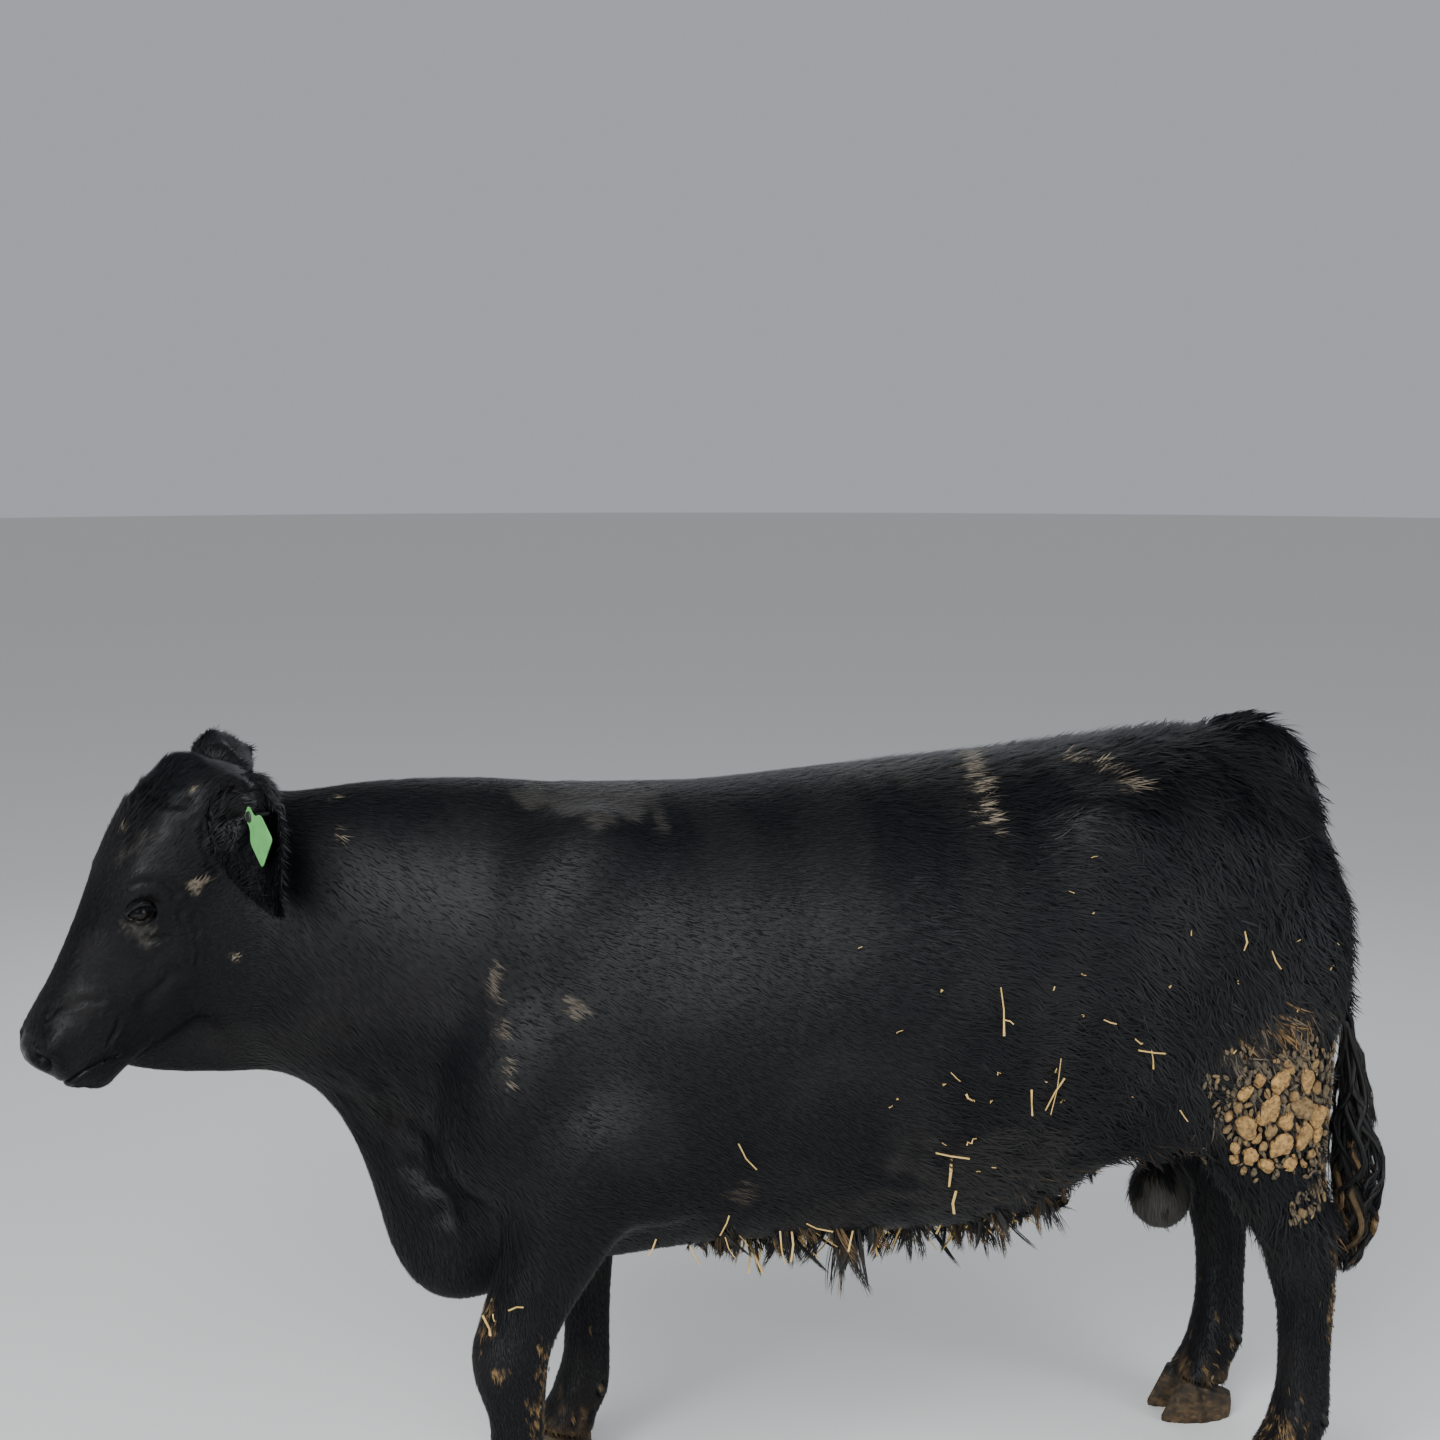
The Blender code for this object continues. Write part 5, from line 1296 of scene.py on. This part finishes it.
def grow_coat(surface, bare):
    """The short coat of every region, each a piece of its own."""
    weights = region_weights(surface[0], bare)
    for seed, (name, (region, count, *look)) in enumerate(SHORT_COAT.items()):
        draw = np.random.default_rng(COAT_SEED + seed)
        segments = 3 if name == "coat_rear_rough" else 2
        coat(name, surface, weights[region], int(count * THRIFT), draw, look, segments)


def belly_fringe(tree):
    """The long, muddy hair under the belly, in hanging locks."""
    draw = np.random.default_rng(77)
    count = FRINGE_LOCKS
    x = draw.uniform(-0.10, 0.545, count)
    x += 0.022 * np.sin(x * 61) + 0.012 * np.sin(x * 143 + 1)
    y = draw.uniform(-0.185, 0.185, count)
    y[:FRINGE_NEAR] = draw.uniform(-0.200, -0.09, FRINGE_NEAR)
    roots = np.array([tree.ray_cast(Vector((u, v, 0.2)), Vector((0, 0, 1)))[0] for u, v in zip(x, y)])
    length = 0.026 + 0.062 * draw.random(count) ** 1.7
    length *= (1 - 0.5 * np.abs(2 * (x - 0.225) / 0.65) ** 3) * (1 + 0.35 * np.sin(x * 83 + 2))
    ahead = draw.uniform(-0.4, 0.9, count)
    way = np.stack([ahead, 1.2 * y * draw.uniform(0.2, 1, count), np.full(count, -1.0)], 1)
    way /= np.linalg.norm(way, axis=1)[:, None]
    swing = np.stack([draw.uniform(-0.8, 0.8, count), draw.uniform(-0.5, 0.5, count), np.zeros(count)], 1)
    t = np.linspace(0, 1, 6)[None, :, None]
    run = (way[:, None] * t + swing[:, None] * t**2 * 0.4) * length[:, None, None]
    paths = roots[:, None] - way[:, None] * 0.006 + run
    muddy = (draw.random(count) < 0.26).astype(float) * draw.uniform(0.15, 0.75, count) ** 1.3
    marks = np.stack([muddy, 0.3 * draw.random(count), np.zeros(count)], 1)
    normals = np.tile([0.0, 0, -1], (count, 1))
    radius = draw.uniform(0.003, 0.012, count)
    locks("belly_fringe", paths, radius, FRINGE_HAIRS, 0.0017, draw, marks, normals)


def switch_hair():
    """The wavy locks of the tail's switch."""
    draw = np.random.default_rng(88)
    rows = np.array(smooth_line(SWITCH, 10))
    count = SWITCH_LOCKS
    start = np.linspace(0.0, 0.64, count)
    run = draw.uniform(0.26, 0.44, count)
    around = np.arange(count) * 2.4 + draw.uniform(-0.3, 0.3, count)
    phase, beat = draw.uniform(0, 6.3, count), draw.uniform(6.0, 11.0, count)
    reach = draw.uniform(0.4, 1.15, count)[:, None]
    t = np.linspace(0, 1, 10)
    at = np.minimum(1, start[:, None] + run[:, None] * t[None]) * (len(rows) - 1)
    base = np.floor(np.minimum(at, len(rows) - 1.001)).astype(int)
    share = (at - base)[:, :, None]
    middle = rows[base] * (1 - share) + rows[base + 1] * share
    wave = phase[:, None] + beat[:, None] * t[None]
    turn = around[:, None] + 0.50 * np.sin(wave)
    grown = np.sin(np.minimum(1, 1.6 * t) * math.pi / 2)[None]
    out = middle[:, :, 3] * (0.22 + (reach - 0.22) * grown)
    rise = 0.006 * np.sin(wave * 1.3)
    paths = middle[:, :, :3] + np.stack([np.cos(turn) * out, np.sin(turn) * out, rise], 2)
    muddy = (draw.random(count) < 0.16) * draw.uniform(0.3, 0.8, count) * (start > 0.2)
    marks = np.stack([muddy, 0.3 * draw.random(count), np.zeros(count)], 1)
    radius = draw.uniform(0.004, 0.0085, count)
    locks("switch_hair", paths, radius, SWITCH_HAIRS, 0.0020, draw, marks)
    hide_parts("tail_switch")


def spaced(places, radius):
    """Which clods have room, taken one after another: each keeps a dark gap round itself."""
    kept = []
    for k, place in enumerate(places):
        away = np.linalg.norm(places[kept] - place, axis=1)
        if not len(kept) or np.all(away > 0.97 * (radius[kept] + radius[k])):
            kept.append(k)
    return kept


def clods(name, places, normals, sizes, draw, around):
    """Dried clods of mud: lumps of noise, flat on the coat and drawn out down it."""
    bm = bmesh.new()
    bmesh.ops.create_uvsphere(bm, u_segments=around, v_segments=around - 2, radius=1)
    bmesh.ops.triangulate(bm, faces=bm.faces)
    base = np.array([vert.co for vert in bm.verts])
    faces = np.array([[vert.index for vert in face.verts] for face in bm.faces])
    bm.free()
    count = len(places)
    along = tangent(normals, np.tile(CLOD_WAY, (count, 1)) + 0.5 * draw.normal(size=(count, 3)))
    across = np.cross(normals, along)
    lumps = []
    for seed in draw.integers(0, 999, count):
        place = base * 0.5 + draw.uniform(-9, 9, 3)
        lumps.append(0.26 * waves(place, 0.9, int(seed)) + 0.13 * waves(place, 0.30, int(seed) + 1))
    shape = base[None] * (1 + np.stack(lumps)[:, :, None])
    points = places[:, None] + normals[:, None] * 0.001
    for axis, way in enumerate((along, across, normals)):
        points = points + way[:, None] * (shape[:, :, axis] * sizes[:, axis, None])[:, :, None]
    large = step(sizes[:, 1], 0.001, 0.0120)
    shade = draw.random(count) ** (1.5 - 1.2 * large) * (0.3 + 0.7 * large)
    colours = np.repeat(np.stack([shade, shade, shade, np.ones(count)], 1), len(base), 0)
    faces = (faces[None] + (np.arange(count) * len(base))[:, None, None]).reshape(-1, 3)
    joined_mesh(name, points.reshape(-1, 3), faces, None, colours, mud_look)


def add_mud(surface):
    """Clods on the near thigh, on hocks and knees, and in the belly's hair."""
    points = surface[0]
    mud = markings(points)[:, 0]
    centre, reach = THIGH_PATCH
    near = (points[:, 1] < -0.05).astype(float)
    thigh = blob(points, centre, reach, 0.36, 0.05, 21) * step(points[:, 2], 0.585, 0.615) * near
    hock = sum(blob(points, place, size, 0.3, 0.02, 22) for place, size in HOCK_PATCHES)
    low = (points[:, 2] < 0.62) & (points[:, 2] > 0.08)
    groups = {
        "mud_thigh": (thigh, 2100, (0.0035, 0.0205), 0.009, 1),
        "mud_hock": (hock, 160, (0.003, 0.0085), 0.006, 3),
        "mud_specks": (mud * low, 130, (0.0015, 0.0045), 0.002, 2),
    }
    for name, (weight, count, (least, most), depth, seed) in groups.items():
        draw = np.random.default_rng(seed)
        places, normals = scatter(surface, weight, count, draw)
        radius = np.sort(least + (most - least) * draw.random(count) ** 4)[::-1]
        if name == "mud_thigh":
            middle = 1 - np.linalg.norm((places - np.array(centre)) / np.array(reach), axis=1)
            radius = np.minimum(radius, 0.004 + 0.036 * np.clip(middle, 0, 1))
        kept = spaced(places, radius)
        places, normals, radius = places[kept], normals[kept], radius[kept]
        sizes = radius[:, None] * np.array([1.18, 0.84, 0.52]) * draw.uniform(0.82, 1.18, (len(kept), 3))
        sizes[:, 0] *= 1.5 - 0.5 * step(radius, 0.004, 0.009)
        big = radius > BIG_CLOD
        for word, chosen, around in (("", ~big, 7), ("_large", big, 15)):
            if chosen.any():
                spot, way = places[chosen], normals[chosen]
                clods(name + word, spot + way * depth, way, sizes[chosen], draw, around)


def straw_lines(surface, tree):
    """Where each bit of straw starts and ends: the placed ones, short bits, and some in the fringe."""
    draw = random.Random(5)
    draw_bits = np.random.default_rng(6)
    lines = [(Vector(a), Vector(b)) for a, b in STRAWS]
    x, _, z = surface[0].T
    spread = step(x, 0.0, 0.3) * step(z, 0.50, 0.58) * (1 - step(z, 1.0, 1.15))
    for place, normal in zip(*scatter(surface, spread, STRAW_BITS, draw_bits)):
        start = Vector(place) + Vector(normal) * 0.011
        way = Vector(tangent(normal[None], draw_bits.normal(size=(1, 3)))[0])
        lines.append((start, start + way * draw.uniform(0.002, SHORT_STRAW)))
    for _ in range(FRINGE_STRAWS):
        x, y = draw.uniform(-0.06, 0.50), draw.uniform(-0.19, -0.02)
        root = tree.ray_cast(Vector((x, y, 0.2)), Vector((0, 0, 1)))[0]
        way = Vector([draw.uniform(*span) for span in ((-0.8, 0.8), (-0.5, 0.3), (-1.2, -0.1))]).normalized()
        lines.append((root, root + way * draw.uniform(0.02, 0.065)))
    return lines, draw


def add_straws(surface, tree):
    """Bits of straw in the coat and in the fringe, each flat and a little bent."""
    lines, draw = straw_lines(surface, tree)
    flat = Matrix.Diagonal((1, 0.5, 1, 1))
    bm = bmesh.new()
    for start, end in lines:
        middle = (start + end) / 2 + Vector([draw.uniform(-0.004, 0.004) for _ in range(3)])
        short = (end - start).length < SHORT_STRAW + 0.0002
        radius = draw.uniform(0.0008, 0.0013) if short else draw.uniform(0.0013, 0.0026)
        loops = []
        for point, ahead in ((start, middle - start), (middle, end - start), (end, end - middle)):
            place = Matrix.Translation(point) @ ahead.to_track_quat("Z", "Y").to_matrix().to_4x4()
            ring = bmesh.ops.create_circle(bm, segments=6, radius=radius, matrix=place @ flat)["verts"]
            loops.append(list(dict.fromkeys(edge for vert in ring for edge in vert.link_edges)))
        for first, second in zip(loops, loops[1:]):
            bmesh.ops.bridge_loops(bm, edges=first + second)
        for ring in (loops[0], loops[-1]):
            bmesh.ops.contextual_create(bm, geom=ring)
    bmesh.ops.recalc_face_normals(bm, faces=bm.faces)
    bmesh.ops.triangulate(bm, faces=bm.faces)
    look = plain_material("straw", STRAW_DARK, 0.6, 0.0004, 90, STRAW_PALE)
    dress(object_of("straws", bm), look)


def ear_hair():
    """Short hair outside the ears and longer hair along the rim and inside."""
    for seed, which in enumerate(EARS):
        bm, axes = ear_surface(which)
        bmesh.ops.triangulate(bm, faces=bm.faces)
        scratch = bpy.data.meshes.new("ear")
        bm.to_mesh(scratch)
        bm.free()
        surface = skin_parts(scratch)
        bpy.data.meshes.remove(scratch)
        points, normals, _ = surface
        draw = np.random.default_rng(300 + seed)
        free = step(points @ axes[0] - np.array(EARS[which][0]) @ axes[0], 0.006, 0.022)
        inside = free * step(normals @ axes[2], -0.3, 0.5)
        for name, (most, length, lift, width, segments) in EAR_COAT.items():
            weight = inside if name == "ear_tufts_" else free
            roots, ways = scatter(surface, weight, int(most * THRIFT), draw)
            count = len(roots)
            lie = tangent(ways, np.tile(axes[0], (count, 1)) + 0.25 * draw.normal(size=(count, 3)))
            size = length * draw.uniform(0.6, 1.2, count)
            rise = np.radians(lift) * draw.uniform(0.5, 1.4, count)
            t = np.linspace(0, 1, segments + 1)[None, :, None]
            run = (size * np.cos(rise))[:, None, None]
            centre = (roots - ways * 0.0004)[:, None] + lie[:, None] * run * t
            centre += ways[:, None] * (size * np.sin(rise))[:, None, None] * (t - 0.4 * t * t)
            side = np.cross(ways, lie)[:, None]
            # Ear hair takes only the darkest part of the coat's tones: painted shade of the shadowed ear.
            marks = np.concatenate([np.zeros((count, 3)), 0.3 * draw.random((count, 1))], 1)
            hairs(name + which, centre, side, np.full(count, width), marks, roots, ways)


def make_lashes():
    """Lashes along the upper lids."""
    draw = np.random.default_rng(9)
    t = np.linspace(0, 1, 5)[:, None]
    centres, sides, roots, ways = [], [], [], []
    for centre, axes in eye_frames().values():
        for share in np.linspace(-0.82, 0.9, LASHES):
            y = EYE_OPENING[0] * share
            z = EYE_OPENING[1] * math.sqrt(1 - share * share) * (1 - 0.38 * share * share) + 0.0012
            x = math.sqrt(max((EYE_RADIUS + LID + 0.001) ** 2 - y * y - z * z, 1e-6))
            root = centre + np.array([x, y, z]) @ axes
            out = np.array([1.0, 0.25 * share, 0.15 + 0.2 * draw.random()])
            size = 0.013 * draw.uniform(0.8, 1.25)
            bend = np.array([[0, 0.15 * share, -0.75]]) * t**2
            centres.append(root + (out[None] * t + bend) @ axes * size)
            sides.append(axes[1])
            roots.append(root)
            ways.append(axes[0])
    count = len(centres)
    marks = np.tile([0.0, 0, 0, 0.2], (count, 1))
    centres, sides, roots, ways = np.array(centres), np.array(sides)[:, None], np.array(roots), np.array(ways)
    hairs("lashes", centres, sides, np.full(count, 0.0009), marks, roots, ways)


def tail_head_tuft(tree):
    """The rough tuft that stands on the tail head."""
    draw = np.random.default_rng(19)
    count = TUFT_LOCKS
    roots, normals = [], []
    for _ in range(count):
        start = Vector((draw.uniform(0.79, 0.862), draw.uniform(-0.030, 0.030), 1.5))
        place, normal = tree.ray_cast(start, Vector((0, 0, -1)))[:2]
        roots.append(list(place))
        normals.append(list(normal))
    roots, normals = np.array(roots), np.array(normals)
    room = np.minimum(0.028, CAD_HIGH[2] + 0.004 - roots[:, 2])
    ahead, aside = draw.uniform(0.2, 1.2, count), draw.uniform(-0.4, 0.4, count)
    way = np.stack([ahead, aside, draw.uniform(0.6, 1.3, count)], 1)
    t = np.linspace(0, 1, 5)[None, :, None]
    bend = np.array([[[0.8, 0, -0.5]]]) * t**2
    paths = roots[:, None] + (way[:, None] * t + bend) * np.maximum(room, 0.010)[:, None, None]
    marks, radius = np.zeros((count, 3)), np.full(count, 0.006)
    locks("tail_head_tuft", paths, radius, TUFT_HAIRS, 0.0018, draw, marks, normals)


# The share of the tufts that is grown.
THRIFT = 1.0

skin = make_skin()
join_ears(skin)
surface = skin_parts(skin.data)
bare = bare_share(surface[0])
layer = skin.data.attributes.new("bare", "FLOAT", "POINT")
layer.data.foreach_set("value", bare.astype(np.float32))
paint(skin.data, np.concatenate([markings(surface[0]), np.full((len(bare), 1), 0.3)], 1))
smooth(skin.data)
# The coat's colours carry a painted blue sheen, and their spread a painted highlight.
coat_look = coat_material("coat", COAT_BLACK_BLUE_SHEEN, COAT_BROWN_HIGHLIGHT, 0.50)
mud_look = mud_material()
dress(skin, skin_material())
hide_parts(*FLESH, "ear_left", "ear_right")
tree = BVHTree.FromObject(skin, bpy.context.evaluated_depsgraph_get())

make_eyes(eye_material())
make_lashes()
make_claws(coat_material("claw horn", HORN_BLACK, HORN_BROWN, 0.45))
make_tag(plain_material("tag plastic", TAG_GREEN, 0.5, 0.0003, 60, TAG_SHADE))
grow_coat(surface, bare)
ear_hair()
belly_fringe(tree)
switch_hair()
tail_head_tuft(tree)
add_mud(surface)
add_straws(surface, tree)


def area_light(name, place, target, power, size, colour):
    """A square light that faces a target."""
    light = link(bpy.data.objects.new(name, bpy.data.lights.new(name, "AREA")))
    light.location = place
    light.rotation_euler = (Vector(place) - Vector(target)).to_track_quat("Z", "Y").to_euler()
    light.data.energy = power
    light.data.size = size
    light.data.color = colour


floor = bmesh.new()
bmesh.ops.create_circle(floor, cap_ends=True, segments=96, radius=40)
floor = object_of("floor", floor)
floor.data.materials.append(plain_material("pale floor", (0.74, 0.73, 0.71, 1), 0.9))

area_light("key light", (-2.6, -3.4, 3.2), (0, 0, 0.8), 380, 3.4, (0.95, 0.98, 1.0))
area_light("side light", (3.0, -3.2, 2.2), (0.2, 0, 0.8), 130, 3.0, (0.92, 0.96, 1.0))
area_light("back light", (0.6, 3.6, 2.6), (0, 0, 1.0), 28, 2.6, (0.90, 0.95, 1.0))
world = bpy.data.worlds.new("studio")
world.use_nodes = True
bpy.context.scene.world = world
sky = world.node_tree.nodes["Background"].inputs
sky[0].default_value = (0.80, 0.84, 0.90, 1)
sky[1].default_value = 0.50

camera = link(bpy.data.objects.new("camera", bpy.data.cameras.new("camera")))
camera.location = (-0.66005, -2.993, 1.75)
camera.rotation_euler = (math.radians(81.75), 0, math.radians(-12))
camera.data.lens = 50
camera.data.sensor_width = 36
bpy.context.scene.camera = camera
